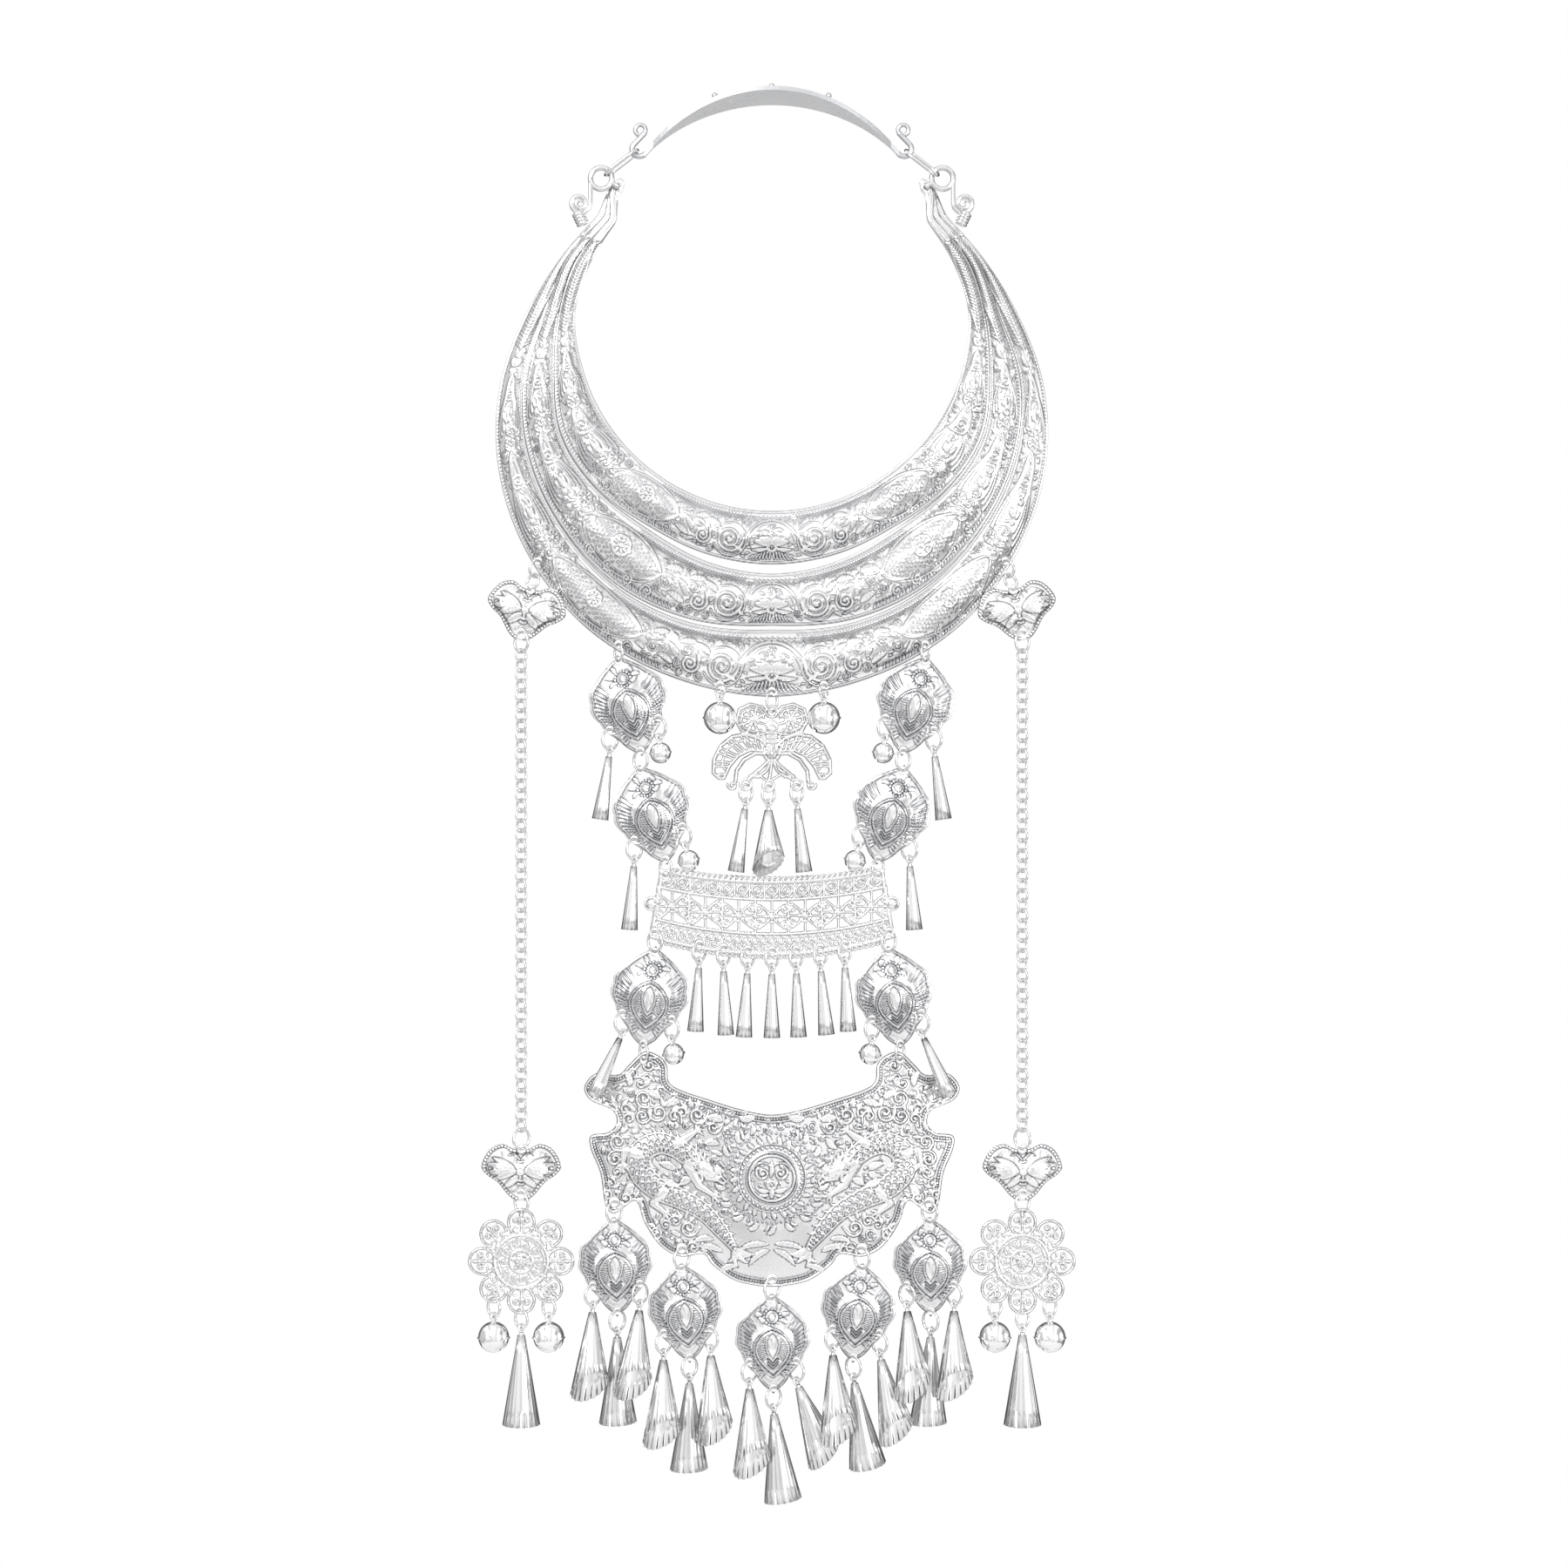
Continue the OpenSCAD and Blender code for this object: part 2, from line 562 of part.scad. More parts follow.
// Slots fanned over a lower wing, kept within its rim
module wing_cuts() intersection() {
    translate(wing_at) circle(wing_r - 1.2);
    translate([6.4, -15.2]) for (k = [0 : wing_slots - 1]) rotate(-64 + 138 * k / (wing_slots - 1))
        translate([4.6, -0.55]) square([9, 1.1]);
}
module butterfly_pendant() color(pale) translate(butterfly_top) difference() {
    union() {
        upright(pierced_t, pierced_t / 2) butterfly_outline();
        translate([0, -pierced_t / 2, -14.4]) sphere(2.2);
        translate([0, -pierced_t / 2, -6]) sphere(1.6);
    }
    through_hole([0, 0, 0], hole_r);
    for (q = butterfly_low) through_hole([q[0], 0, q[1]], hole_r);
}
module butterfly_outline() difference() {
    union() {
        circle(hole_edge + 0.2);
        for (s = [-1, 1]) {
            translate([s * 5.6, -2.4]) circle(5);
            translate([s * wing_at[0], wing_at[1]]) circle(wing_r);
            translate([s * 5.4, -20.2]) band_ring(4.3, 1.2);
            translate([s * 11.6, -22.8]) circle(1.8);
        }
        translate([0, -11]) square([5.4, 13], center = true);
        translate([0, -14.4]) circle(3.6);
        translate([-0.7, -25]) square([1.4, 9]);
        for (q = butterfly_low) translate(q) circle(hole_edge + 0.1);
    }
    for (s = [0, 1]) mirror([s, 0]) {
        for (a = [-35, 35, 100]) translate([6.2, -2.4] + 2.7 * [cos(a), sin(a)]) circle(0.95);
        wing_cuts();
    }
}
pendant_cone_ends = [for (q = butterfly_low) butterfly_top + [q[0], 0, q[1] - 2 * cone_ring_r]];
module pendant_rings() {
    jump_ring(collar_hole(0), butterfly_ring_r, swing_turn);
    for (q = butterfly_low) jump_ring(butterfly_top + [q[0], 0, q[1]], cone_ring_r, ring_turn);
}
module pendant_cones() {
    hung(pendant_cone_ends[0], 8) narrow_cone(90 + ring_turn);
    hung(pendant_cone_ends[1], 0) cone(wide_len * 0.75, 1.3, wide_r * 0.86, 90 + ring_turn, 14);
    hung(pendant_cone_ends[2], -6) narrow_cone(90 + ring_turn);
}

// Pierced bar between the middle and lower plaques, drawn from the level of its upper holes
bar_low_drop = bar_top[2] - bar_low[2];
bar_top_mid = hole_edge - bar_arc_r * (1 - cos(bar_flare));
bar_bottom_mid = -bar_low_drop - hole_edge - bar_belly;
bar_half = bar_low[0] + hole_edge;
bar_bottom_r = ball_r(bar_half, bar_belly);
bar_rings_n = 7;
bar_pitch = 2 * bar_low[0] * 0.83 / (bar_rings_n + 1);
function bar_bottom_at(x) = bar_bottom_mid + bar_bottom_r - sqrt(bar_bottom_r * bar_bottom_r - x * x);
function bar_top_at(x) = bar_top_mid + bar_arc_r - sqrt(bar_arc_r * bar_arc_r - x * x);
bar_ring_xs = [for (k = [0 : bar_rings_n - 1]) (k - (bar_rings_n - 1) / 2) * bar_pitch];
function bar_ring_hole(x) = [x, hang_y, bar_top[2] + bar_bottom_at(x) + hole_edge];
// Rows of piercings: height share from the lower edge, count, radius
bar_piercings = [[0.86, 12, 1.3], [0.62, 10, 2.2], [0.38, 10, 2.2], [0.36, 9, 0.9]];
module bar_outline() intersection() {
    difference() {
        translate([0, bar_bottom_mid + bar_bottom_r]) circle(bar_bottom_r, $fn = 96);
        translate([0, bar_top_mid + bar_arc_r]) circle(bar_arc_r, $fn = 96);
    }
    polygon([[-bar_top[0] - hole_edge, hole_edge], [bar_top[0] + hole_edge, hole_edge],
        [bar_low[0] + hole_edge, -bar_low_drop - hole_edge], [bar_low[0] + hole_edge, bar_bottom_mid],
        [-bar_low[0] - hole_edge, bar_bottom_mid], [-bar_low[0] - hole_edge, -bar_low_drop - hole_edge]]);
}
module pierced_bar() color(silver) translate([0, hang_y, bar_top[2]]) difference() {
    knob_at = (bar_top[0] + bar_low[0]) / 2 + hole_edge + 0.8;
    union() {
        upright(pierced_t, pierced_t / 2) union() {
            bar_outline();
            for (s = [-1, 1]) translate([s * knob_at, -bar_low_drop / 2]) circle(2.6);
        }
        for (s = [-1, 1]) translate([s * knob_at, -pierced_t / 2, -bar_low_drop / 2]) sphere(1.9);
        upright(0.5, pierced_t / 2 + 0.45) intersection() {
            bar_outline();
            union() {
                for (share = [0.26, 0.5, 0.745, 0.98]) bar_line(share, 0.7);
            }
        }
    }
    for (row = bar_piercings) for (k = [0 : row[1] - 1])
        let (x = (k - (row[1] - 1) / 2) * (2 * bar_top[0] - 6) / row[1],
             z = mix(bar_bottom_at(x), bar_top_at(x), row[0]) - (row[2] < 1 ? 4.2 : 0))
        through_hole([x, 0, z], row[2]);
    for (s = [-1, 1]) {
        through_hole([s * bar_top[0], 0, 0], hole_r);
        through_hole([s * bar_low[0], 0, -bar_low_drop], hole_r);
    }
    for (x = bar_ring_xs) through_hole([x, 0, bar_bottom_at(x) + hole_edge], hole_r);
}
// Raised line along the bar at a share of its height
module bar_line(share, w) {
    mid = mix(bar_bottom_mid, bar_top_mid, share);
    r = mix(bar_bottom_r, bar_arc_r, share);
    translate([0, mid + r]) difference() {
        circle(r + w / 2, $fn = 96);
        circle(r - w / 2, $fn = 96);
    }
}
bar_cone_leans = [3, -2, 3, 0, -2, -5, -3];
module bar_rings() for (x = bar_ring_xs) jump_ring(bar_ring_hole(x), cone_ring_r, ring_turn);
module bar_cones() for (k = [0 : bar_rings_n - 1])
    hung(bar_ring_hole(bar_ring_xs[k]) - [0, 0, 2 * cone_ring_r], bar_cone_leans[k]) narrow_cone(90 + ring_turn);

// Breastplate: right half of its outline from the top middle round to the bottom middle,
// as shares of half its width and of its height
plate_half_outline = [
    [0.000, 0.259], [0.161, 0.237], [0.346, 0.192], [0.488, 0.154], [0.548, 0.118], [0.558, 0.050],
    [0.604, 0.008], [0.682, -0.006], [0.760, 0.050], [0.820, 0.094], [0.935, 0.088], [1.000, 0.147],
    [0.965, 0.205], [0.850, 0.245], [0.825, 0.300], [0.870, 0.342], [0.963, 0.357], [0.963, 0.417],
    [0.912, 0.519], [0.885, 0.654], [0.836, 0.692], [0.738, 0.636], [0.705, 0.656], [0.675, 0.730],
    [0.590, 0.830], [0.484, 0.874], [0.364, 0.862], [0.313, 0.910], [0.200, 0.975], [0.070, 1.000],
    [0.000, 1.003]];
plate_smooth = 3;
plate_outline_half = [for (k = [0 : plate_smooth * (len(plate_half_outline) - 1)])
    let (p = through(plate_half_outline, k / plate_smooth)) [p[0] * plate_w / 2, -p[1] * plate_h]];
plate_outline = concat(plate_outline_half,
    [for (k = [len(plate_outline_half) - 2 : -1 : 1]) [-plate_outline_half[k][0], plate_outline_half[k][1]]]);
// Outline moved inwards by a width
function inwards(pts, w) = [for (k = [0 : len(pts) - 1])
    let (a = pts[(k + len(pts) - 1) % len(pts)], b = pts[(k + 1) % len(pts)], d = (b - a) / norm(b - a))
    pts[k] + w * [d[1], -d[0]]];

// The top edge passes a hole's edge width above the ring holes
plate_top = plate_hole[2] + hole_edge;
plate_mid = -plate_h * 0.53;
plate_dome = plate_w * plate_w / 8 / plate_dome_r;
function plate_depth(x, z) = plate_dome - (x * x + pow(z - plate_mid, 2)) / (2 * plate_dome_r);
// The ring holes lie in the collar's hanging plane
plate_back = hang_y + plate_depth(plate_hole[0], -hole_edge) - plate_t / 2;
// Holes along the lower edge, as shares of half the width and of the height
plate_low_holes = [[-0.838, 0.642], [-0.478, 0.838], [0, 0.968], [0.478, 0.838], [0.838, 0.642]];
function plate_low(k) =
    let (x = plate_low_holes[k][0] * plate_w / 2, z = -plate_low_holes[k][1] * plate_h)
    [x, plate_back - plate_depth(x, z) + plate_t / 2, plate_top + z];

module plate_ball(up) dome_ball(plate_dome_r + up, plate_dome + up, plate_mid, $fn = 240);
module plate_shell(low, high) difference() {
    plate_ball(high);
    plate_ball(low);
}
module plate_relief(up) intersection() {
    upright(plate_dome + 8, 4) children();
    plate_shell(-0.3, up);
}
module breastplate() color(silver) translate([0, plate_back, plate_top]) difference() {
    union() {
        intersection() {
            upright(plate_dome + 8, 8) polygon(plate_outline);
            plate_shell(-plate_t, 0);
        }
        plate_relief(0.6) difference() {
            polygon(inwards(plate_outline, 0.5));
            polygon(inwards(plate_outline, 1.8));
        }
        translate([0, 0, plate_mid]) {
            medallion();
            both_sides() dragon();
        }
    }
    for (s = [-1, 1]) translate([0, -hang_y, 0]) through_hole([s * plate_hole[0], hang_y, -hole_edge], hole_r);
    for (k = [0 : 4]) translate([0, -plate_back, -plate_top]) through_hole(plate_low(k), hole_r + 0.5);
}
// Raised work placed from the middle of the medallion
module plate_raise(up) translate([0, 0, -plate_mid]) plate_relief(up) translate([0, plate_mid]) children();
medal_r = 7.8;
module medallion() {
    plate_raise(1.1) for (r = [medal_r, 1.38 * medal_r]) band_ring(r, 0.9);
    plate_raise(0.9) {
        for (s = [-1, 1]) translate([s * 0.36 * medal_r, 0.18 * medal_r]) band_ring(0.27 * medal_r, 0.8);
        translate([0, -0.42 * medal_r]) circle(0.24 * medal_r);
        for (k = [0 : 15]) rotate(k * 22.5) translate([0, 2.5 * medal_r]) leaf_shape(0.72 * medal_r, 0.42 * medal_r);
    }
}
// Dragon to the right of the medallion: path points and half widths, in shares of the medallion's radius
dragon_path = [
    [2.60, 0.15, 0.12], [3.00, 0.45, 0.36], [3.55, 0.85, 0.40], [4.30, 1.35, 0.42], [5.05, 1.50, 0.46],
    [5.75, 1.10, 0.50], [5.80, 0.25, 0.50], [5.05, -0.50, 0.48], [4.00, -0.95, 0.44], [3.00, -1.50, 0.38],
    [2.25, -2.30, 0.30], [1.65, -3.10, 0.14]];
dragon_smooth = 4;
module ribbon(rows, unit) {
    pts = [for (k = [0 : dragon_smooth * (len(rows) - 1)]) through(rows, k / dragon_smooth)];
    last = len(pts) - 1;
    sides = [for (k = [0 : last]) let (a = pts[max(0, k - 1)], b = pts[min(last, k + 1)],
        d = [b[0] - a[0], b[1] - a[1]] / norm([b[0] - a[0], b[1] - a[1]])) [-d[1], d[0]] * pts[k][2]];
    polygon(unit * concat([for (k = [0 : last]) [pts[k][0], pts[k][1]] + sides[k]],
        [for (k = [last : -1 : 0]) [pts[k][0], pts[k][1]] - sides[k]]));
}
module dragon() {
    plate_raise(1.4) ribbon(dragon_path, medal_r);
    plate_raise(0.8) {
        for (q = [[3.9, 2.3, 0.55], [5.3, 2.75, 0.5], [6.9, 0.9, 0.5], [7.1, -0.4, 0.45], [4.6, -2.0, 0.45],
                [3.2, 2.9, 0.4], [3.4, -2.9, 0.4], [5.6, 4.2, 0.5]])
            translate([q[0], q[1]] * medal_r) band_ring(q[2] * medal_r, 0.9);
        for (q = [[5.9, -1.2, 60], [4.6, 0.1, 10], [2.3, -2.6, 130]])
            translate([q[0], q[1]] * medal_r) rotate(q[2]) leaf_shape(1.1 * medal_r, 0.35 * medal_r);
    }
}
module plate_rings() both_sides() jump_ring(lower_end, short_ring_r, swing_turn);

// Fringe below the breastplate: lean of each plaque, then leans and forward tilts of its three cones
fringe_leans = [-2, -5, -1, 5.5, -0.8];
cone_lean_rows = [[2, 0, 4.8], [1.1, 0.5, -2.8], [-1.9, -5.8, -20], [-3.8, -9, -12], [-3.6, 1.5, 0.1]];
cone_tilt_rows = [[8, -7.5, 13.7], [8.9, -6.8, 8.9], [9.1, -5.1, -4.5], [15.8, -11, 1.5], [17.8, -6, 10.9]];
// Way each ring is turned, so that its front half points away from the domes beside it
fringe_turns = [[1, 1, 1], [1, 1, -1], [1, 1, -1], [1, -1, -1], [-1, -1, -1]];
plate_ring_turns = [1, 1, 1, -1, -1];
function fringe_top(k) = plate_low(k) - [0, 0, 2 * ring_r];
function fringe_cone_hole(k, c) = hung_point(fringe_top(k), fringe_leans[k],
    c == 1 ? [0, 0, -fringe_len] : side_hole_at(fringe_len, fringe_w, c - 1));
module fringe_plaque(k) hung(fringe_top(k), fringe_leans[k]) leaf_plaque(fringe_len, fringe_w, fringe_dome);
module fringe_plaque_1() fringe_plaque(0);
module fringe_plaque_2() fringe_plaque(1);
module fringe_plaque_3() fringe_plaque(2);
module fringe_plaque_4() fringe_plaque(3);
module fringe_plaque_5() fringe_plaque(4);
module fringe_rings() for (k = [0 : 4]) {
    jump_ring(plate_low(k), ring_r, plate_ring_turns[k] * ring_turn);
    for (c = [0 : 2]) jump_ring(fringe_cone_hole(k, c), ring_r, fringe_turns[k][c] * ring_turn);
}
module fringe_cones(k) for (c = [0 : 2])
    hung(fringe_cone_hole(k, c) - [0, 0, 2 * ring_r], cone_lean_rows[k][c], cone_tilt_rows[k][c])
        wide_cone(90 + fringe_turns[k][c] * ring_turn, c == 1 ? 6 : 16);
module fringe_cones_1() fringe_cones(0);
module fringe_cones_2() fringe_cones(1);
module fringe_cones_3() fringe_cones(2);
module fringe_cones_4() fringe_cones(3);
module fringe_cones_5() fringe_cones(4);

// Side chains, given for the right: collar hole, charm, chain, charm, rosette
charm_ring_lean = -14;
charm_ring_tilt = 14;
charm_lean = -12.5;
chain_gap = 0.15;
chain_pitch = 2 * chain_r - chain_wire - chain_gap;
charm_hole = collar_hole(charm_angle);
// Two short rings carry the upper charm, the second hung through the first
second_ring = charm_hole + down(charm_ring_lean, 2 * short_ring_r - ring_wire - chain_gap);
upper_charm_top = second_ring + leaned(charm_ring_lean, charm_ring_tilt, 2 * short_ring_r);
upper_charm_low = upper_charm_top + down(charm_lean, charm_h);
chain_hook = upper_charm_low - [0, 0, 2 * ring_r];
link_seat = wire_r + chain_wire / 2 + chain_gap;
first_link = chain_hook + [0, 0, link_seat - chain_r];
last_link = first_link - [0, 0, (chain_links - 1) * chain_pitch];
chain_end = last_link + [0, 0, link_seat - chain_r];
lower_charm_top = chain_end - [0, 0, 2 * ring_r];
lower_charm_low = lower_charm_top - [0, 0, charm_h];
petal_r = 0.27 * rosette_r;
petal_at = rosette_r - petal_r;
petal_wire = 0.9;
petal_seat = petal_r - petal_wire - wire_r - 0.35;
rosette_mid = lower_charm_low - [0, 0, 2 * ring_r + petal_at + petal_seat];
function leaned(lean, tip_forward, d) = [-d * sin(lean) * cos(tip_forward), -d * sin(tip_forward), -d * cos(lean) * cos(tip_forward)];
module chain(side) color(grey) at_side(side) for (k = [0 : chain_links - 1])
    translate(first_link - [0, 0, k * chain_pitch]) upright_ring(chain_r, chain_wire / 2, k % 2 == 0 ? -ring_turn : ring_turn);
module chain_left() chain(-1);
module chain_right() chain(1);

// Winged charm: half outline as shares of half its width and of its height
charm_half = [[0, 0.13], [0.22, 0.10], [0.50, 0.02], [0.80, 0.12], [1.00, 0.40], [0.88, 0.56], [0.60, 0.70],
    [0.34, 0.92], [0.16, 1.02], [0, 1.04]];
function charm_outline(inset) =
    let (rows = [for (k = [0 : 3 * (len(charm_half) - 1)]) through(charm_half, k / 3)], full = charm_h + 2 * hole_edge,
         half = [for (q = rows) [q[0] * (charm_w / 2 - inset), hole_edge - mix(inset, full - inset, q[1])]])
    concat(half, [for (k = [len(half) - 2 : -1 : 1]) [-half[k][0], half[k][1]]]);
wing_dome_at = 4.4;
module charm() color(silver) {
    mid = -charm_h / 2;
    r = ball_r(charm_h * 0.53, charm_dome);
    difference() {
        union() {
            upright(sheet_t, sheet_t / 2) polygon(charm_outline(0));
            for (z = [0, -charm_h]) translate([0, sheet_t / 2, z]) rotate([90, 0, 0]) cylinder(h = sheet_t, r = hole_edge);
            intersection() {
                upright(20, 0) polygon(charm_outline(1.4));
                both_sides() translate([wing_dome_at, 0, 0]) dome_ball(r, charm_dome, mid);
            }
            both_sides() translate([wing_dome_at, 0, 0]) raised(r, charm_dome, mid, 0.4) for (a = [-38, 20])
                translate([1.2 - wing_dome_at, mid]) rotate(a + 90) leaf_line(0.36 * charm_w, 0.17 * charm_w, 0.5);
            translate([0, -charm_dome * 0.8, mid]) sphere(1.3);
        }
        intersection() {
            upright(20, 1) polygon(charm_outline(1.4 + sheet_t));
            both_sides() translate([wing_dome_at, 0, 0]) dome_ball(r - sheet_t, charm_dome - sheet_t, mid);
        }
        for (z = [0, -charm_h]) through_hole([0, 0, z], hole_r + 0.2);
    }
}
module upper_charm(side) at_side(side) hung(upper_charm_top, charm_lean) charm();
module lower_charm(side) at_side(side) hung(lower_charm_top) charm();
module upper_charm_left() upper_charm(-1);
module upper_charm_right() upper_charm(1);
module lower_charm_left() lower_charm(-1);
module lower_charm_right() lower_charm(1);

// Rosette: an open ring for each petal round a pierced disc
petals = 8;
eyelets = 20;
disc_r = 0.5 * rosette_r;
eyelet_at = 0.585 * rosette_r;
module rosette(side) color(pale) at_side(side) translate(rosette_mid) difference() {
    union() {
        upright(pierced_t, pierced_t / 2) union() {
            difference() {
                circle(petal_at - petal_r * 0.4);
                for (k = [0 : petals - 1]) rotate(90 + k * 360 / petals) translate([petal_at, 0]) circle(petal_r - petal_wire / 2);
            }
            for (k = [0 : petals - 1]) rotate(90 + k * 360 / petals) {
                translate([petal_at, 0]) band_ring(petal_r - petal_wire / 2, petal_wire);
                for (s = [-1, 1]) translate([petal_at - petal_r * 0.55, s * petal_r * 0.46]) circle(0.36 * petal_r);
            }
        }
        upright(0.6, pierced_t / 2 + 0.55) union() {
            band_ring(disc_r, 0.9);
            band_ring(disc_r * 0.42, 0.8);
            for (k = [0 : 9]) rotate(k * 36) translate([disc_r * 0.7, 0]) band_ring(disc_r * 0.15, 0.6);
        }
        translate([0, -pierced_t / 2, 0]) sphere(0.24 * disc_r);
    }
    for (k = [0 : eyelets - 1]) rotate([0, (k + 0.5) * 360 / eyelets, 0]) through_hole([eyelet_at, 0, 0], 0.045 * rosette_r);
}
module rosette_left() rosette(-1);
module rosette_right() rosette(1);
// Rings through the three lowest petals: place of each ring's top wire
rosette_ring_r = 3.2;
function petal_low(k) = rosette_mid + [petal_at * sin(k * 360 / petals), 0, -petal_at * cos(k * 360 / petals) - petal_seat];
function petal_end(k) = petal_low(k) - [0, 0, 2 * rosette_ring_r];
module charm_rings() both_sides() {
    hung(charm_hole, charm_ring_lean) jump_ring([0, 0, 0], short_ring_r, -ring_turn);
    hung(second_ring, charm_ring_lean, charm_ring_tilt) jump_ring([0, 0, 0], short_ring_r, ring_turn);
    for (p = [upper_charm_low, lower_charm_low]) jump_ring(p, ring_r, ring_turn);
    jump_ring(chain_end, ring_r, chain_links % 2 == 0 ? -ring_turn : ring_turn);
}
module rosette_rings() both_sides() for (k = [-1 : 1]) jump_ring(petal_low(k), rosette_ring_r, ring_turn);
module rosette_bells(side) at_side(side) for (k = [-1, 1]) hung(petal_end(k)) bell(rosette_bell_r, 90 + ring_turn);
module rosette_bells_left() rosette_bells(-1);
module rosette_bells_right() rosette_bells(1);
module rosette_cone(side) at_side(side) hung(petal_end(0)) wide_cone(90 + ring_turn);
module rosette_cone_left() rosette_cone(-1);
module rosette_cone_right() rosette_cone(1);

back_band();
link_left();
link_right();
end_hook_left();
end_hook_right();
inner_tier();
middle_tier();
outer_tier();
collar_rings();
collar_bell_left();
collar_bell_right();
butterfly_pendant();
pendant_rings();
pendant_cones();
plaque_left_1();
plaque_left_2();
plaque_left_3();
plaque_right_1();
plaque_right_2();
plaque_right_3();
drop_rings();
plaque_bells();
plaque_cones();
pierced_bar();
bar_rings();
bar_cones();
breastplate();
plate_rings();
fringe_plaque_1();
fringe_plaque_2();
fringe_plaque_3();
fringe_plaque_4();
fringe_plaque_5();
fringe_rings();
fringe_cones_1();
fringe_cones_2();
fringe_cones_3();
fringe_cones_4();
fringe_cones_5();
chain_left();
chain_right();
upper_charm_left();
upper_charm_right();
lower_charm_left();
lower_charm_right();
charm_rings();
rosette_left();
rosette_right();
rosette_rings();
rosette_bells_left();
rosette_bells_right();
rosette_cone_left();
rosette_cone_right();
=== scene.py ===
"""Visual model of a silver neck ring with three crescent tiers, plaques, chains and a breastplate.

Pressed sheets are built as fine grids cut along their outlines, with the chased work raised on
them. Lengths are millimetres in the source's frame until a mesh is made.
"""
import math

import bpy
import mathutils
import numpy as np
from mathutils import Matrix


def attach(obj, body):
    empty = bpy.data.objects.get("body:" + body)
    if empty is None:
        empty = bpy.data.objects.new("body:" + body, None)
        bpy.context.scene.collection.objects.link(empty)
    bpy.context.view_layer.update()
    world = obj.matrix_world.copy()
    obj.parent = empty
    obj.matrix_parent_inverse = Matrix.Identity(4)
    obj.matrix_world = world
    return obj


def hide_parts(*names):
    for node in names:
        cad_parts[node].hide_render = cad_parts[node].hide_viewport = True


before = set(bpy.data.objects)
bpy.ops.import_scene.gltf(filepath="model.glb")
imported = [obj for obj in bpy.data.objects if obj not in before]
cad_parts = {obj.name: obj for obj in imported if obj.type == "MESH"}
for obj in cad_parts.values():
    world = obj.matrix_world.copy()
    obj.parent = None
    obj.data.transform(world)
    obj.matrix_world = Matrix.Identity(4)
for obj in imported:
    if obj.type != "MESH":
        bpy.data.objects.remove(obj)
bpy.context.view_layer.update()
FINE = 1.0
MM = 0.001
SIDES = ((-1, "left"), (1, "right"))

# Numbers of the CAD source
NECK_R, NECK_DROP = 67.8, 74.4
SHEET, DOME_SHARE, FLANGE = 0.9, 0.24, 0.12
TIER_BACK = [2.2, 3.5, 4.8]
HANG_Y = 4.35
HOLE_R, EDGE = 1.35, 2.2
SIDE_X, SIDE_Y = 86.517, 2.947
# Edges of the tiers in neck radii, from the neck outwards, with a row for each 15 degrees
EDGE_SHARES = np.array([
    [1.000, 1.274, 1.584, 1.947], [1.000, 1.265, 1.606, 1.916], [1.000, 1.248, 1.588, 1.858],
    [1.000, 1.257, 1.518, 1.748], [1.000, 1.235, 1.429, 1.606], [1.000, 1.146, 1.310, 1.438],
    [1.000, 1.084, 1.159, 1.257], [0.960, 1.035, 1.084, 1.119], [0.920, 0.960, 0.993, 1.027]])
END_ANGLE, TIP_ANGLE = 132.0, 129.5
# Holes in the tiers: x, z
TIP = (53.415, -30.368)
COLLAR_HOLES = [(0, -204.207), (17.944, -202.074), (53.0, -188.062), (80.76, -159.206)]
TIP_HOLE_R, COLLAR_HOLE_R, PLATE_HOLE_R, CHARM_HOLE_R = 1.15, 1.45, 1.85, 1.55
# Plaques: length, width, height of the dome
LEG_PLAQUE, FRINGE_PLAQUE = (31.8, 26.4, 4.6), (30.6, 25.0, 3.0)
CHARM_W, CHARM_H = 27.5, 15.0
BUTTERFLY_Z, ROSETTE_Z, ROSETTE_CONE_Z = -211.407, -401.17, -424.27
UPPER_CHARM, UPPER_CHARM_LEAN, LOWER_CHARM_Z = (83.27, SIDE_Y, -169.276), -12.5, -362.47
# From a hole down to the eye of the cone under it
SHORT_LINK, LONG_LINK = 6.0, 7.0


def smooth(t):
    u = np.clip(t, 0, 1)
    return u * u * (3 - 2 * u)


def mix(a, b, t):
    return a + (b - a) * t


def toward(angle):
    """Unit vector at an angle in degrees."""
    return np.array([math.cos(math.radians(angle)), math.sin(math.radians(angle))])


def through(rows, t):
    """Smooth curve through evenly spaced rows."""
    rows = np.asarray(rows, float)
    t = np.asarray(t, float)
    last = len(rows) - 1
    i = np.clip(np.floor(t).astype(int), 0, last - 1)
    f = t - i
    if rows.ndim > 1:
        f = f[..., None]
    a, b, c, d = rows[np.maximum(i - 1, 0)], rows[i], rows[i + 1], rows[np.minimum(last, i + 2)]
    bend, twist = 2 * a - 5 * b + 4 * c - d, 3 * b - a - 3 * c + d
    return 0.5 * (2 * b + (c - a) * f + bend * f * f + twist * f ** 3)


def evenly(pts, step):
    """Points at an even step along a line."""
    pts = np.asarray(pts, float)
    run = np.concatenate([[0], np.cumsum(np.hypot(*np.diff(pts, axis=0).T))])
    at = np.arange(0, run[-1], step)
    return np.stack([np.interp(at, run, pts[:, 0]), np.interp(at, run, pts[:, 1])], 1)


def closed(pts):
    return np.concatenate([pts, pts[:1]])


def halves(half):
    """Outline from its right half, which starts and ends on the middle line."""
    return np.concatenate([half, half[-2:0:-1] * [-1, 1]])


# Fields: positive inside an outline


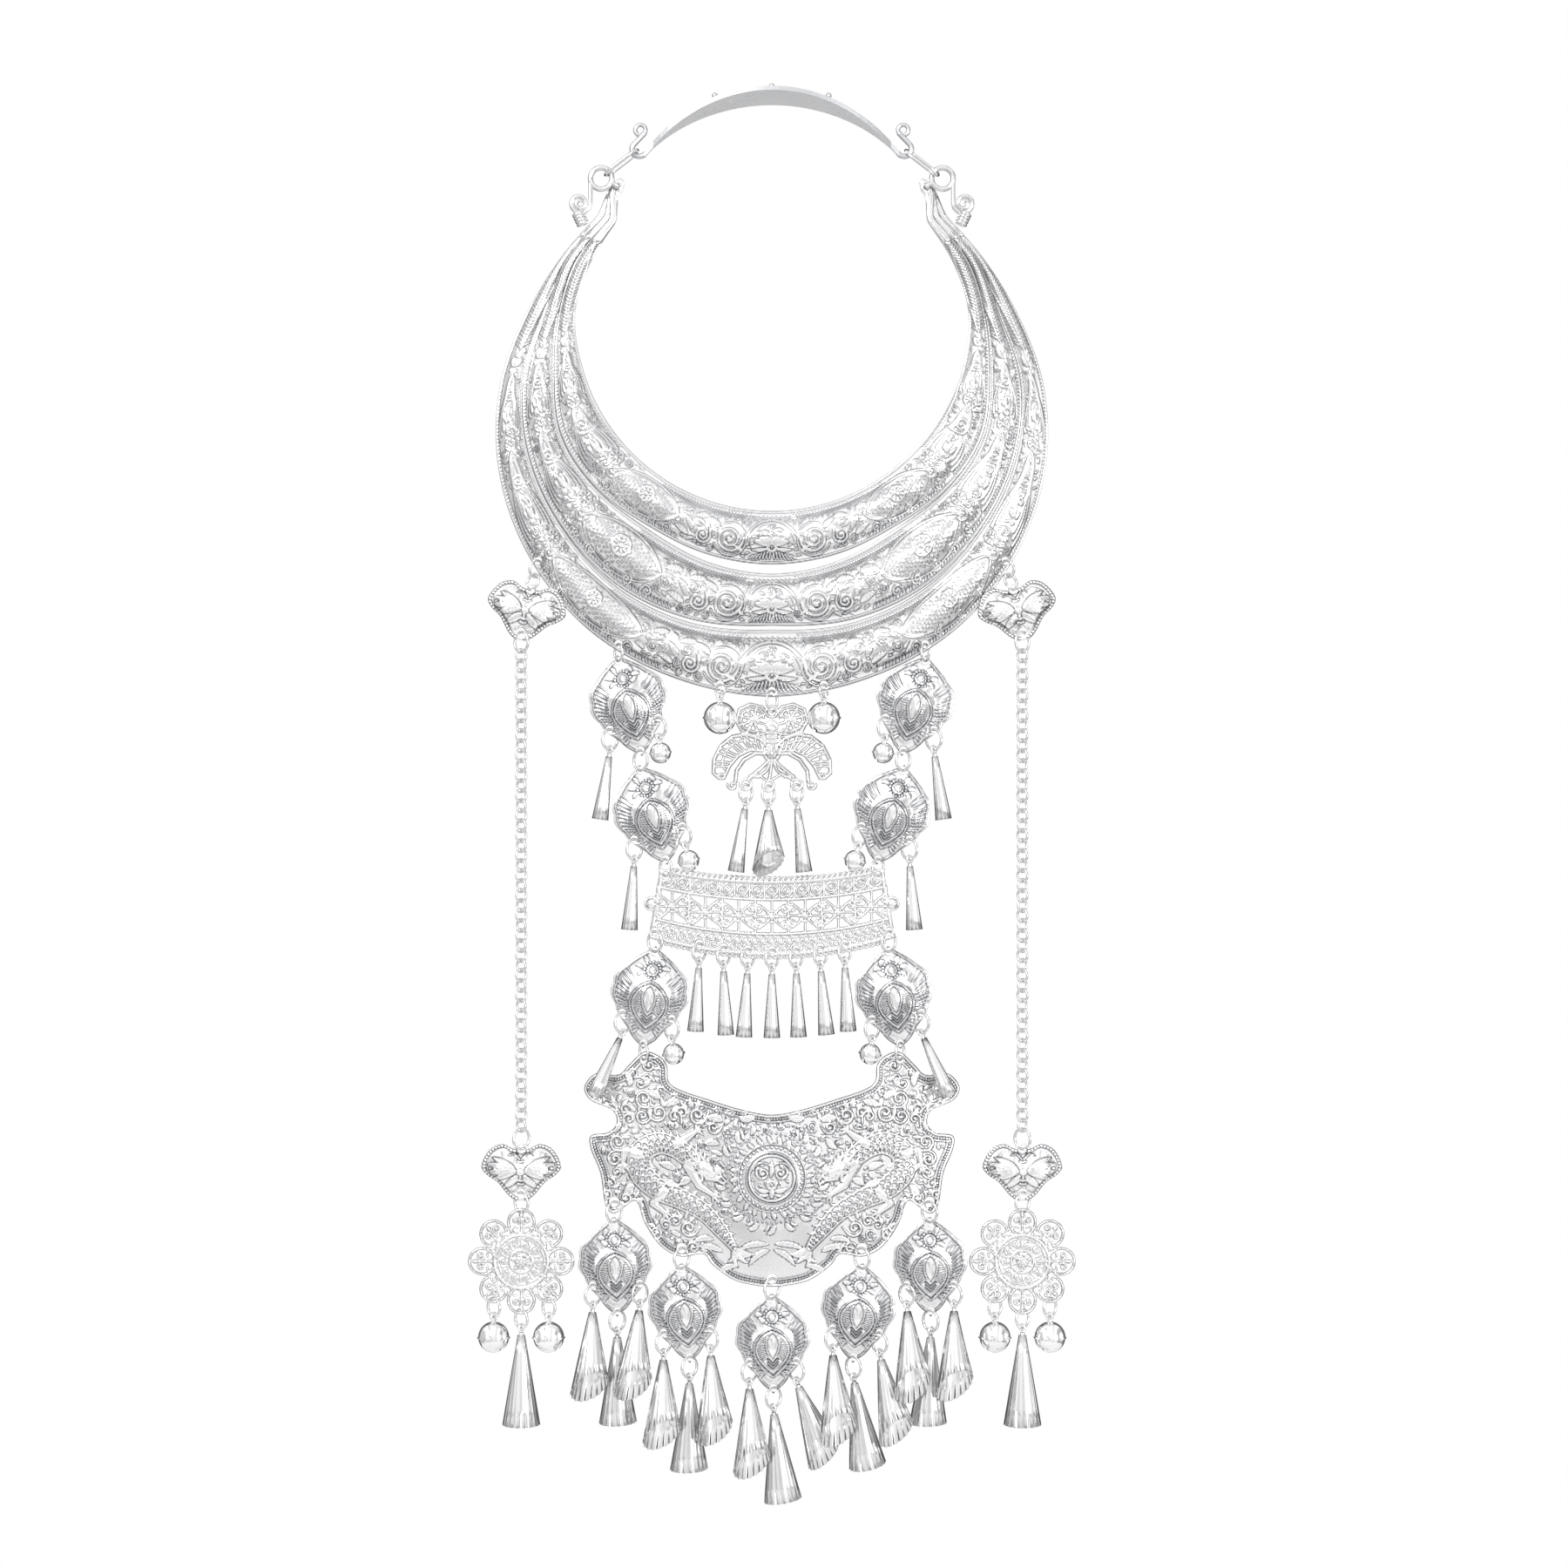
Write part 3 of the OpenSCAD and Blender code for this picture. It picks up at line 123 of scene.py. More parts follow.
def polygon_field(poly):
    """Signed distance to a closed outline."""
    poly = np.asarray(poly, float)

    def field(x, z):
        best = np.full(x.shape, 1e9)
        inside = np.zeros(x.shape, bool)
        for (ax, az), (bx, bz) in zip(poly, np.roll(poly, -1, 0)):
            dx, dz = bx - ax, bz - az
            t = np.clip(((x - ax) * dx + (z - az) * dz) / max(dx * dx + dz * dz, 1e-12), 0, 1)
            best = np.minimum(best, (x - ax - t * dx) ** 2 + (z - az - t * dz) ** 2)
            if dz:
                inside ^= ((az > z) != (bz > z)) & (x < ax + (z - az) * dx / dz)
        return np.where(inside, 1, -1) * np.sqrt(best)
    return field


def with_holes(field, holes):
    """The field less round holes, each (x, z, r)."""
    def cut(x, z):
        s = field(x, z)
        for hx, hz, r in holes:
            s = np.minimum(s, np.hypot(x - hx, z - hz) - r)
        return s
    return cut


def clear_of(holes, x, z, reach=0.8):
    """1 away from the holes, falling to 0 at their edges."""
    calm = np.ones_like(x)
    for hx, hz, r in holes:
        calm = calm * smooth((np.hypot(x - hx, z - hz) - r) / reach)
    return calm


def lip(s, depth=0.2):
    """How far a face bends back at its edges, from the distance to them."""
    return depth * np.clip(1 - s / 0.35, 0, 1) ** 2


def ball_cap(x, z, cx, cz, r, lift=0.0):
    """Height of a ball's front over the sheet's middle plane, zero outside it."""
    return np.maximum(0, np.sqrt(np.maximum(0, r * r - (x - cx) ** 2 - (z - cz) ** 2)) - lift)


def dome(x, z, reach, height):
    """Rise of a shallow ball over a circle, less half the sheet."""
    ball = (reach ** 2 + height ** 2) / (2 * height)
    up = np.sqrt(np.maximum(0.01, ball ** 2 - x ** 2 - z ** 2)) - (ball - height)
    return np.maximum(0, up - SHEET / 2)


# Grids cut along an outline


def cut_grid(box, cell, field):
    """Flat triangles where field(x, z) is positive, and the directed edges along the cut."""
    x0, x1, z0, z1 = box
    nx, nz = int((x1 - x0) / cell) + 2, int((z1 - z0) / cell) + 2
    xs, zs = x0 + cell * np.arange(nx), z0 + cell * np.arange(nz)
    gx, gz = (g.ravel() for g in np.meshgrid(xs, zs, indexing="ij"))
    s = field(gx, gz)
    s = np.where(np.abs(s) < 1e-4 * cell, 1e-4 * cell, s)
    i, j = (g.ravel() for g in np.meshgrid(np.arange(nx - 1), np.arange(nz - 1), indexing="ij"))
    a = i * nz + j
    b, c, d = a + nz, a + nz + 1, a + 1
    even = ((i + j) % 2 == 0)[:, None]
    tris = np.concatenate([np.where(even, np.stack([a, b, c], 1), np.stack([a, b, d], 1)),
                           np.where(even, np.stack([a, c, d], 1), np.stack([b, c, d], 1))])
    inside = s[tris] > 0
    count = inside.sum(1)
    full = tris[count == 3]

    def odd_first(rows, flags):
        k = flags.argmax(1)[:, None]
        return np.take_along_axis(rows, (k + np.arange(3)) % 3, 1)

    one = odd_first(tris[count == 1], inside[count == 1])
    two = odd_first(tris[count == 2], ~inside[count == 2])
    total = nx * nz
    pairs = np.concatenate([one[:, [0, 1]], one[:, [0, 2]], two[:, [0, 1]], two[:, [0, 2]]])
    pairs.sort(axis=1)
    keys, back = np.unique(pairs[:, 0].astype(np.int64) * total + pairs[:, 1], return_inverse=True)
    back = back.ravel()
    p, q = keys // total, keys % total
    t = s[p] / (s[p] - s[q])
    cx, cz = gx[p] + t * (gx[q] - gx[p]), gz[p] + t * (gz[q] - gz[p])
    ids = total + back
    n1, n2 = len(one), len(two)
    one_ab, one_ac = ids[:n1], ids[n1:2 * n1]
    two_ab, two_ac = ids[2 * n1:2 * n1 + n2], ids[2 * n1 + n2:]
    faces = np.concatenate([full, np.stack([one[:, 0], one_ab, one_ac], 1),
                            np.stack([two_ab, two[:, 1], two[:, 2]], 1),
                            np.stack([two_ab, two[:, 2], two_ac], 1)])
    edges = np.concatenate([np.stack([one_ab, one_ac], 1), np.stack([two_ac, two_ab], 1)])
    px, pz = np.concatenate([gx, cx]), np.concatenate([gz, cz])
    used = np.zeros(len(px), bool)
    used[faces] = True
    new = np.cumsum(used) - 1
    return px[used], pz[used], new[faces], new[edges]


def sheet_mesh(box, cell, field, front, back, back_cell=1.0):
    """Sheet between y = -front(x, z) and y = -back(x, z): a fine face, its rim and a coarser back.
    Returns points, triangles and how many of the points belong to the face."""
    x, z, faces, edges = cut_grid(box, cell * FINE, field)
    y = -front(x, z)
    n = len(x)
    rim = np.unique(edges)
    where = np.zeros(n, int)
    where[rim] = np.arange(len(rim))
    e = where[edges]
    m = len(rim)
    rim_front = np.stack([x[rim], y[rim], z[rim]], 1)
    rim_back = rim_front.copy()
    rim_back[:, 1] = -back(x[rim], z[rim])
    p, q = e[:, 0] + n, e[:, 1] + n
    strip = np.concatenate([np.stack([p, p + m, q + m], 1), np.stack([p, q + m, q], 1)])
    bx, bz, bfaces, _ = cut_grid(box, back_cell * FINE, field)
    rear = np.stack([bx, -back(bx, bz), bz], 1)
    points = np.concatenate([np.stack([x, y, z], 1), rim_front, rim_back, rear])
    return points, np.concatenate([faces, strip, bfaces[:, ::-1] + n + 2 * m]), n


def dressed_mesh(relief, field, front, back, cell, back_cell, edge=0.55, reach=0.3, tone=None):
    """Sheet mesh and the painted shade of its face: shade in the relief's recesses, scaled by tone if given,
    and a soft painted shade line along its edges.
    """
    points, tris, n = sheet_mesh(relief.box, cell, field, front, back, back_cell)
    x, z = points[:n, 0], points[:n, 2]
    painted_shade = relief.at(relief.painted_shade, x, z)
    if tone:
        painted_shade = np.minimum(1, painted_shade * tone(x, z))
    # Soft painted shade along the outline, added to the painted shade of the recesses.
    return points, tris, np.maximum(painted_shade, edge * np.clip(1 - field(x, z) / reach, 0, 1))


# Chased and raised work, drawn on fine pixels


class Canvas:
    """Pixels over a box that strokes are drawn on."""

    def __init__(self, box, px, margin):
        self.box, self.px = box, px
        self.xs = np.arange(box[0] - margin, box[1] + margin, px)
        self.zs = np.arange(box[2] - margin, box[3] + margin, px)

    def layer(self, value=0.0):
        return np.full((len(self.xs), len(self.zs)), value, np.float32)

    def parts(self, pts, w, h, reach):
        """For each part of a stroke: a window on the pixels, and in it the stroke's half width,
        its height and the squared distance to its middle line."""
        pts = np.asarray(pts, float)
        last = len(pts) - 1
        w, h = np.broadcast_to(w, last + 1), np.broadcast_to(h, last + 1)
        origin = np.array([self.xs[0], self.zs[0]])
        for k in range(max(1, last)):
            q = min(k + 1, last)
            a, b = pts[k], pts[q]
            m = max(w[k], w[q], self.px) + reach
            i0, j0 = (max(0, int(v)) for v in (np.minimum(a, b) - m - origin) / self.px)
            i1, j1 = (max(0, int(v) + 2) for v in (np.maximum(a, b) + m - origin) / self.px)
            gx, gz = self.xs[i0:i1, None] - a[0], self.zs[None, j0:j1] - a[1]
            if not gx.size or not gz.size:
                continue
            dx, dz = b - a
            t = np.clip((gx * dx + gz * dz) / max(dx * dx + dz * dz, 1e-9), 0, 1)
            off2 = (gx - t * dx) ** 2 + (gz - t * dz) ** 2
            yield np.s_[i0:i1, j0:j1], mix(w[k], w[q], t), mix(h[k], h[q], t), off2

    def at(self, layer, x, z):
        """Value of a layer at points, taken between pixels."""
        u = np.clip((x - self.xs[0]) / self.px, 0, layer.shape[0] - 1.001)
        v = np.clip((z - self.zs[0]) / self.px, 0, layer.shape[1] - 1.001)
        i, j = u.astype(int), v.astype(int)
        f, g = u - i, v - j
        return mix(mix(layer[i, j], layer[i + 1, j], f), mix(layer[i, j + 1], layer[i + 1, j + 1], f), g)


class Relief(Canvas):
    """Height map: strokes raise it or cut grooves in it, and leave lines of painted shade beside them."""

    def __init__(self, box, px=0.12, ink=0.32, line=0.9):
        super().__init__(box, px, 1)
        # The third number is how far the painted shade lines reach beside strokes, the fourth how dark they
        # are.
        self.reach, self.dark = ink, line
        self.up, self.down, self.base, self.ink, self.solid = (self.layer() for _ in range(5))

    def stroke(self, pts, w, h, power=0.7, groove=False, under=False):
        grid = self.base if under else self.down if groove else self.up
        for window, half, top, off2 in self.parts(pts, w, h, self.reach):
            half = half + 1e-6
            raised = top * np.clip(1 - off2 / (half * half), 0, 1) ** power
            np.maximum(grid[window], raised, out=grid[window])
            if under:
                continue
            off = np.sqrt(off2) - half
            # Line of painted shade along the stroke; finish keeps it off raised metal.
            np.maximum(self.ink[window], np.clip((self.reach - off) / 0.14, 0, 1), out=self.ink[window])
            if not groove:
                np.maximum(self.solid[window], np.clip(-off / 0.16, 0, 1), out=self.solid[window])

    def finish(self, hollow):
        """Joins raised work and grooves, softens it, and paints shade into the recesses and beside the
        strokes.
        """
        self.h = blur(self.base + self.up - self.down, 1)
        deep = blur(self.h, max(1, int(hollow / self.px))) - self.h
        sx, sz = np.gradient(self.h, self.px)
        steep = smooth((np.hypot(sx, sz) - 0.45) / 0.9)
        low = np.clip((deep - 0.01) / 0.15 + 0.6 * steep * np.clip((deep + 0.1) / 0.15, 0, 1), 0, 1)
        # Painted shade: dark lines beside strokes, and darkening in hollows and on steep walls.
        self.painted_shade = np.clip(self.dark * self.ink * (1 - self.solid) + 0.25 * low, 0, 1)
        return self

    def height(self, x, z):
        return self.at(self.h, x, z)


class Filigree(Canvas):
    """Sheet metal drawn as strokes: positive in the metal, and growing to the strokes' middles. It takes
    a relief's strokes too, of which only the width counts."""

    def __init__(self, box, px=0.1):
        super().__init__(box, px, 0.5)
        self.depth = self.layer(-2.0)

    def stroke(self, pts, w, h=0, *relief_settings):
        for window, half, _, off2 in self.parts(pts, w, h, 1.5):
            np.maximum(self.depth[window], half - np.sqrt(off2), out=self.depth[window])

    def field(self, x, z):
        return self.at(self.depth, x, z)


def blur(a, r):
    """Box blur over 2r + 1 pixels each way."""
    for axis in (0, 1):
        pad = [(0, 0), (0, 0)]
        pad[axis] = (r + 1, r)
        c = np.cumsum(np.pad(a, pad, mode="edge"), axis=axis, dtype=np.float64)
        n = a.shape[axis]
        lo = np.take(c, np.arange(n), axis=axis)
        hi = np.take(c, np.arange(2 * r + 1, n + 2 * r + 1), axis=axis)
        a = ((hi - lo) / (2 * r + 1)).astype(np.float32)
    return a


class Pen:
    """Draws motifs given in their own units on a canvas."""

    def __init__(self, canvas, place=None, unit=1.0):
        self.canvas, self.unit = canvas, unit
        self.place = place or (lambda p: p)

    def line(self, pts, w, h, groove=False, power=0.7, under=False):
        pts = self.place(np.asarray(pts, float))
        self.canvas.stroke(pts, np.asarray(w, float) * self.unit, h, power, groove, under)

    def at(self, x, z, turn=0.0, scale=1.0, flip=1.0):
        """A pen with its origin moved, turned in degrees, scaled and mirrored."""
        (c, s), outer = toward(turn), self.place

        def place(p):
            a, b = p[:, 0] * scale * flip, p[:, 1] * scale
            return outer(np.stack([x + a * c - b * s, z + a * s + b * c], 1))
        return Pen(self.canvas, place, self.unit * scale)

    def bead(self, x, z, r, h):
        self.line([[x, z]], r, h, power=0.5)

    def beads(self, pts, r, h):
        for x, z in pts:
            self.bead(x, z, r, h)

    def ring(self, r, w, h, x=0.0, z=0.0, n=28, a0=0.0, a1=360.0):
        a = np.radians(np.linspace(a0, a1, n + 1))
        self.line(np.stack([x + r * np.cos(a), z + r * np.sin(a)], 1), w, h)

    def bead_ring(self, r, n, size, h, z=0.0):
        a = np.arange(n) * 2 * math.pi / n
        self.beads(np.stack([r * np.cos(a), z + r * np.sin(a)], 1), size, h)

    def spiral(self, r, turns, w, h, start=0.0, hand=1, lead=0.0, x=0.0, z=0.0):
        """Curl from its outer end inwards, with a straight lead before it."""
        k = np.linspace(0, 1, int(14 * turns) + 4)
        a = math.radians(start) + hand * k * turns * 2 * math.pi
        rr = r * (1 - 0.86 * k)
        pts = np.stack([x + rr * np.cos(a), z + rr * np.sin(a)], 1)
        if lead:
            back = -hand * np.array([-math.sin(a[0]), math.cos(a[0])]) * lead
            pts = np.concatenate([[pts[0] + back, pts[0] + back * 0.5], pts])
        size = np.linspace(1, 0.75, len(pts))
        size[:2] = [0.55, 0.8] if lead else size[:2]
        self.line(pts, w * size, h)
        self.bead(pts[-1][0], pts[-1][1], w * 1.5, h * 1.15)

    def leaf(self, p, q, w, h, bend=0.0, veins=0):
        """Pointed leaf from p to q, with a midrib and side veins cut in it."""
        p, q = np.asarray(p, float), np.asarray(q, float)
        d = q - p
        length = float(np.hypot(*d)) or 1e-6
        side = np.array([-d[1], d[0]]) / length
        k = np.linspace(0, 1, 11)
        mid = p + k[:, None] * d + (bend * 4 * k * (1 - k))[:, None] * side
        self.line(mid, w * np.sin(np.pi * k ** 0.8) ** 0.8 + 0.04 * w, h)
        if not veins:
            return
        self.line(mid[1:-1], 0.11 * w + 0.03, h * 0.55, groove=True)
        for t in np.arange(1, veins + 1) / (veins + 1):
            c = p + t * d + (bend * 4 * t * (1 - t)) * side
            reach = 0.85 * w * math.sin(math.pi * t ** 0.8) ** 0.8
            for s in (-1, 1):
                end = c + s * reach * side + d / length * reach * 0.8
                self.line([c, end], 0.09 * w + 0.02, h * 0.4, groove=True)

    def fan(self, n, r0, r1, a1, w, h, x=0.0, z=0.0):
        """Tapered petals spread from a point."""
        k = np.linspace(0, 1, 6)
        for a in np.linspace(0, a1, n):
            petal = [x, z] + mix(r0, r1, k)[:, None] * toward(a)
            self.line(petal, w * (0.45 + 0.75 * k - 0.25 * k ** 4), h)

    def flower(self, r, petals, h, x=0.0, z=0.0, ringed=True):
        self.bead(x, z, 0.27 * r, h * 1.2)
        round_to = 360 * (petals - 1) / petals
        self.fan(petals, 0.38 * r, 0.74 * r, round_to, 0.9 * r / petals + 0.05 * r, h * 0.8, x, z)
        if ringed:
            self.ring(0.92 * r, 0.08 * r + 0.04, h * 0.8, x, z, n=24)

    def feather(self, length, half, n, w, h, lean):
        """Herringbone strokes on both sides of a midrib along the first axis."""
        self.line([[0, 0], [length, 0]], w * 0.9, h)
        for x in np.linspace(0.02, 0.98, n) * length:
            for s in (-1, 1):
                barb = [[x, 0.06 * s], [x + lean * half * 0.75, s * half]]
                self.line(barb, [w, w * 0.6], [h * 0.8, h * 0.5])

    def cloud(self, r, h):
        """Scroll with two curls and a few leaves."""
        self.spiral(0.52 * r, 1.35, 0.085 * r, h, 200, 1, 0.5 * r, x=-0.35 * r)
        self.spiral(0.36 * r, 1.2, 0.07 * r, h * 0.9, 20, 1, 0.4 * r, x=0.55 * r, z=0.1 * r)
        for a in (50, 85, 120):
            self.leaf(0.45 * r * toward(a), 0.95 * r * toward(a), 0.12 * r, h * 0.7)


def fill_bare(relief, field, margin, count, sizes, rng, h, turn_at=None):
    """Small curls, leaves and flowers wherever the work is still bare, large ones first."""
    box = relief.box
    x, z = rng.uniform(box[0], box[1], count), rng.uniform(box[2], box[3], count)
    keep = field(x, z) > margin
    x, z = x[keep], z[keep]
    turns = turn_at(x, z) if turn_at else rng.uniform(0, 360, len(x))
    pen = Pen(relief)
    for r in sizes:
        n = int(r / relief.px)
        clear = field(x, z) > r * 0.8
        for k in np.flatnonzero(clear):
            i, j = int((x[k] - relief.xs[0]) / relief.px), int((z[k] - relief.zs[0]) / relief.px)
            if relief.up[i - n:i + n + 1:2, j - n:j + n + 1:2].max() > 0.03:
                continue
            small = pen.at(x[k], z[k], turns[k] + rng.uniform(-40, 40), r, 1 if rng.random() < 0.5 else -1)
            pick = rng.random()
            if r > 0.9 and pick < 0.55:
                small.spiral(0.85, 1.6, 0.27 / r, h, 200, 1, 0.9)
                small.leaf([0.2, 0.9], [-0.9, 1.0], 0.2, h * 0.8, 0.1)
            elif r > 0.9 and pick < 0.7:
                small.flower(0.9, 7, h)
            elif r > 0.5:
                small.leaf([-0.95, 0], [0.95, 0.1], 0.42, h * 0.9, 0.25, 3 if r > 0.8 else 0)
            else:
                small.bead(0, 0, 0.8, h * 0.6)


# Meshes and materials


def add_object(name, data):
    obj = bpy.data.objects.new(name, data)
    bpy.context.scene.collection.objects.link(obj)
    return obj


def dress(node, body, points, tris, material, painted_shade):
    """Adds a mesh in a CAD node's place; painted shade values are given for its first points."""
    mesh = bpy.data.meshes.new(node + "_dressed")
    points = np.asarray(points, np.float32) * MM
    mesh.vertices.add(len(points))
    mesh.vertices.foreach_set("co", points.ravel())
    mesh.loops.add(len(tris) * 3)
    mesh.loops.foreach_set("vertex_index", np.asarray(tris, np.int32).ravel())
    mesh.polygons.add(len(tris))
    mesh.polygons.foreach_set("loop_start", np.arange(0, len(tris) * 3, 3, dtype=np.int32))
    mesh.polygons.foreach_set("use_smooth", np.ones(len(tris), bool))
    mesh.update(calc_edges=True)
    values = np.zeros(len(points), np.float32)
    values[:len(painted_shade)] = painted_shade
    # The painted shade goes to the mesh as an attribute that the material reads.
    mesh.attributes.new("painted_shade", "FLOAT", "POINT").data.foreach_set("value", values)
    mesh.materials.append(material)
    obj = add_object(node + "_dressed", mesh)
    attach(obj, body)
    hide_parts(node)


def in_frame(points, place, lean=0.0, tip=0.0, side=1):
    """Moves a hung piece's points to their place: tipped forward, leaned, moved, and mirrored for -1."""
    x, y, z = points.T
    c, s = toward(tip)
    y, z = y * c + z * s, -y * s + z * c
    c, s = toward(lean)
    x, z = x * c + z * s, -x * s + z * c
    return np.stack([side * (x + place[0]), y + place[1], z + place[2]], 1)


def mirrored(tris, side):
    return tris[:, ::-1] if side < 0 else tris


def dress_pair(node, body, mesh, place, lean=0.0):
    """Dresses the left and the right node with a mesh and its mirror image; SIDE stands for the word."""
    points, tris, painted_shade = mesh
    for side, word in SIDES:
        dress(node.replace("SIDE", word), body, in_frame(points, place, lean, 0, side),
              mirrored(tris, side), WORKED, painted_shade)


def add_node(tree, kind, out, inputs, **settings):
    """Adds a shader node, links its inputs or sets their values, and gives its output."""
    made = tree.nodes.new("ShaderNode" + kind)
    for key, value in settings.items():
        setattr(made, key, value)
    for key, value in inputs.items():
        if hasattr(value, "is_linked"):
            tree.links.new(value, made.inputs[key])
        else:
            made.inputs[key].default_value = value
    return made.outputs[out]


def blend(tree, kind, factor, a, b):
    sockets = {"Factor": factor, "A": a, "B": b}
    return add_node(tree, "Mix", "Result", sockets, data_type="RGBA", blend_type=kind)


def silver(name, slot, tone, rough, dark, painted_shade_gain, scratch=0.02):
    """Silver with painted shade in its recesses, cloudy wear and fine scratches."""
    mat = bpy.data.materials.new(name)
    mat.use_nodes = True
    mat["slot"] = slot
    tree = mat.node_tree
    bsdf = next(n for n in tree.nodes if n.type == "BSDF_PRINCIPLED")
    bsdf.inputs["Metallic"].default_value = 1.0
    place = add_node(tree, "TexCoord", "Object", {})
    cloud = add_node(tree, "TexNoise", "Fac", {"Vector": place, "Scale": 55.0, "Detail": 5.0})
    fine = add_node(tree, "TexNoise", "Fac", {"Vector": place, "Scale": 900.0, "Detail": 3.0})
    # Painted shade from the mesh's recess values, made uneven by the cloud noise.
    painted_shade = add_node(tree, "Attribute", "Fac", {}, attribute_name="painted_shade")
    shade_unevenness = add_node(tree, "Math", 0, {0: cloud, 1: 0.5, 2: 0.75}, operation="MULTIPLY_ADD")
    depth = add_node(tree, "Math", 0, {0: painted_shade, 1: shade_unevenness}, operation="MULTIPLY")
    gain = add_node(tree, "Math", 0, {0: depth, 1: painted_shade_gain}, operation="MULTIPLY", use_clamp=True)
    worn = add_node(tree, "MapRange", "Result", {"Value": cloud, "From Min": 0.45, "From Max": 0.75})
    patina = blend(tree, "MIX", worn, (*tone, 1), (*[0.93 * t for t in tone], 1))
    # Colour darkened towards the dark colour by the painted shade.
    colour = blend(tree, "MIX", gain, patina, (*dark, 1))
    tree.links.new(colour, bsdf.inputs["Base Color"])
    grain = {"Value": fine, "To Min": rough * 0.75, "To Max": rough * 1.35}
    even = add_node(tree, "MapRange", "Result", grain)
    uneven = add_node(tree, "Math", 0, {0: gain, 1: 0.25, 2: even}, operation="MULTIPLY_ADD")
    tree.links.new(uneven, bsdf.inputs["Roughness"])
    bump = add_node(tree, "Bump", "Normal", {"Strength": scratch, "Distance": 0.0006, "Height": fine})
    tree.links.new(bump, bsdf.inputs["Normal"])
    return mat


# PALE is the silver's colour; the second is the grey painted as shade in recesses.
PALE, SHADE_GREY = (0.955, 0.955, 0.95), (0.22, 0.22, 0.23)
BRIGHT = silver("polished_silver", "bright_silver", PALE, 0.10, (0.30, 0.30, 0.31), 0.6)
WORKED = silver("chased_silver", "worked_silver", (0.955, 0.955, 0.952), 0.12, (0.07, 0.073, 0.08), 1, 0.04)
WIRE = silver("silver_wire", "wire_silver", (0.80, 0.80, 0.80), 0.13, SHADE_GREY, 0.6, 0.03)
BAND = silver("band_silver", "bright_silver", (0.66, 0.665, 0.675), 0.3, SHADE_GREY, 0.6, 0.03)
CONE = silver("fluted_silver", "bright_silver", PALE, 0.14, (0.16, 0.16, 0.17), 1.0)


# The three tiers: chased work laid out along each crescent

ANGLES = np.linspace(0, END_ANGLE, 529)
NECK_WIDENING = (0, 3, 1.2)
FIELD_SHIFTS = {"inner_tier": 0.9, "middle_tier": 0.3, "outer_tier": 0.0}
# Leaves beside the palmette: place along the tier, height, turn
TIER_LEAVES = ((2.25, 0.2, 25), (2.75, 0.3, -20), (3.2, -0.1, 40), (3.35, -0.5, 10), (3.7, 0.32, -25))


def tier_edges(i):
    """Radii of a tier's inner and outer edge at ANGLES."""
    low, high = (NECK_R * through(EDGE_SHARES[:, k], np.minimum(120, ANGLES) / 15) for k in (i, i + 1))
    low = low + NECK_WIDENING[i] * (1 - smooth(ANGLES / 45))
    t = smooth((ANGLES - 120) / (TIP_ANGLE - 120))
    half = 2.2 * mix(1, 0.45, smooth((ANGLES - TIP_ANGLE) / (END_ANGLE - TIP_ANGLE)))
    return mix(low, NECK_R * 1.021 - half, t), mix(high, NECK_R * 1.021 + half, t)


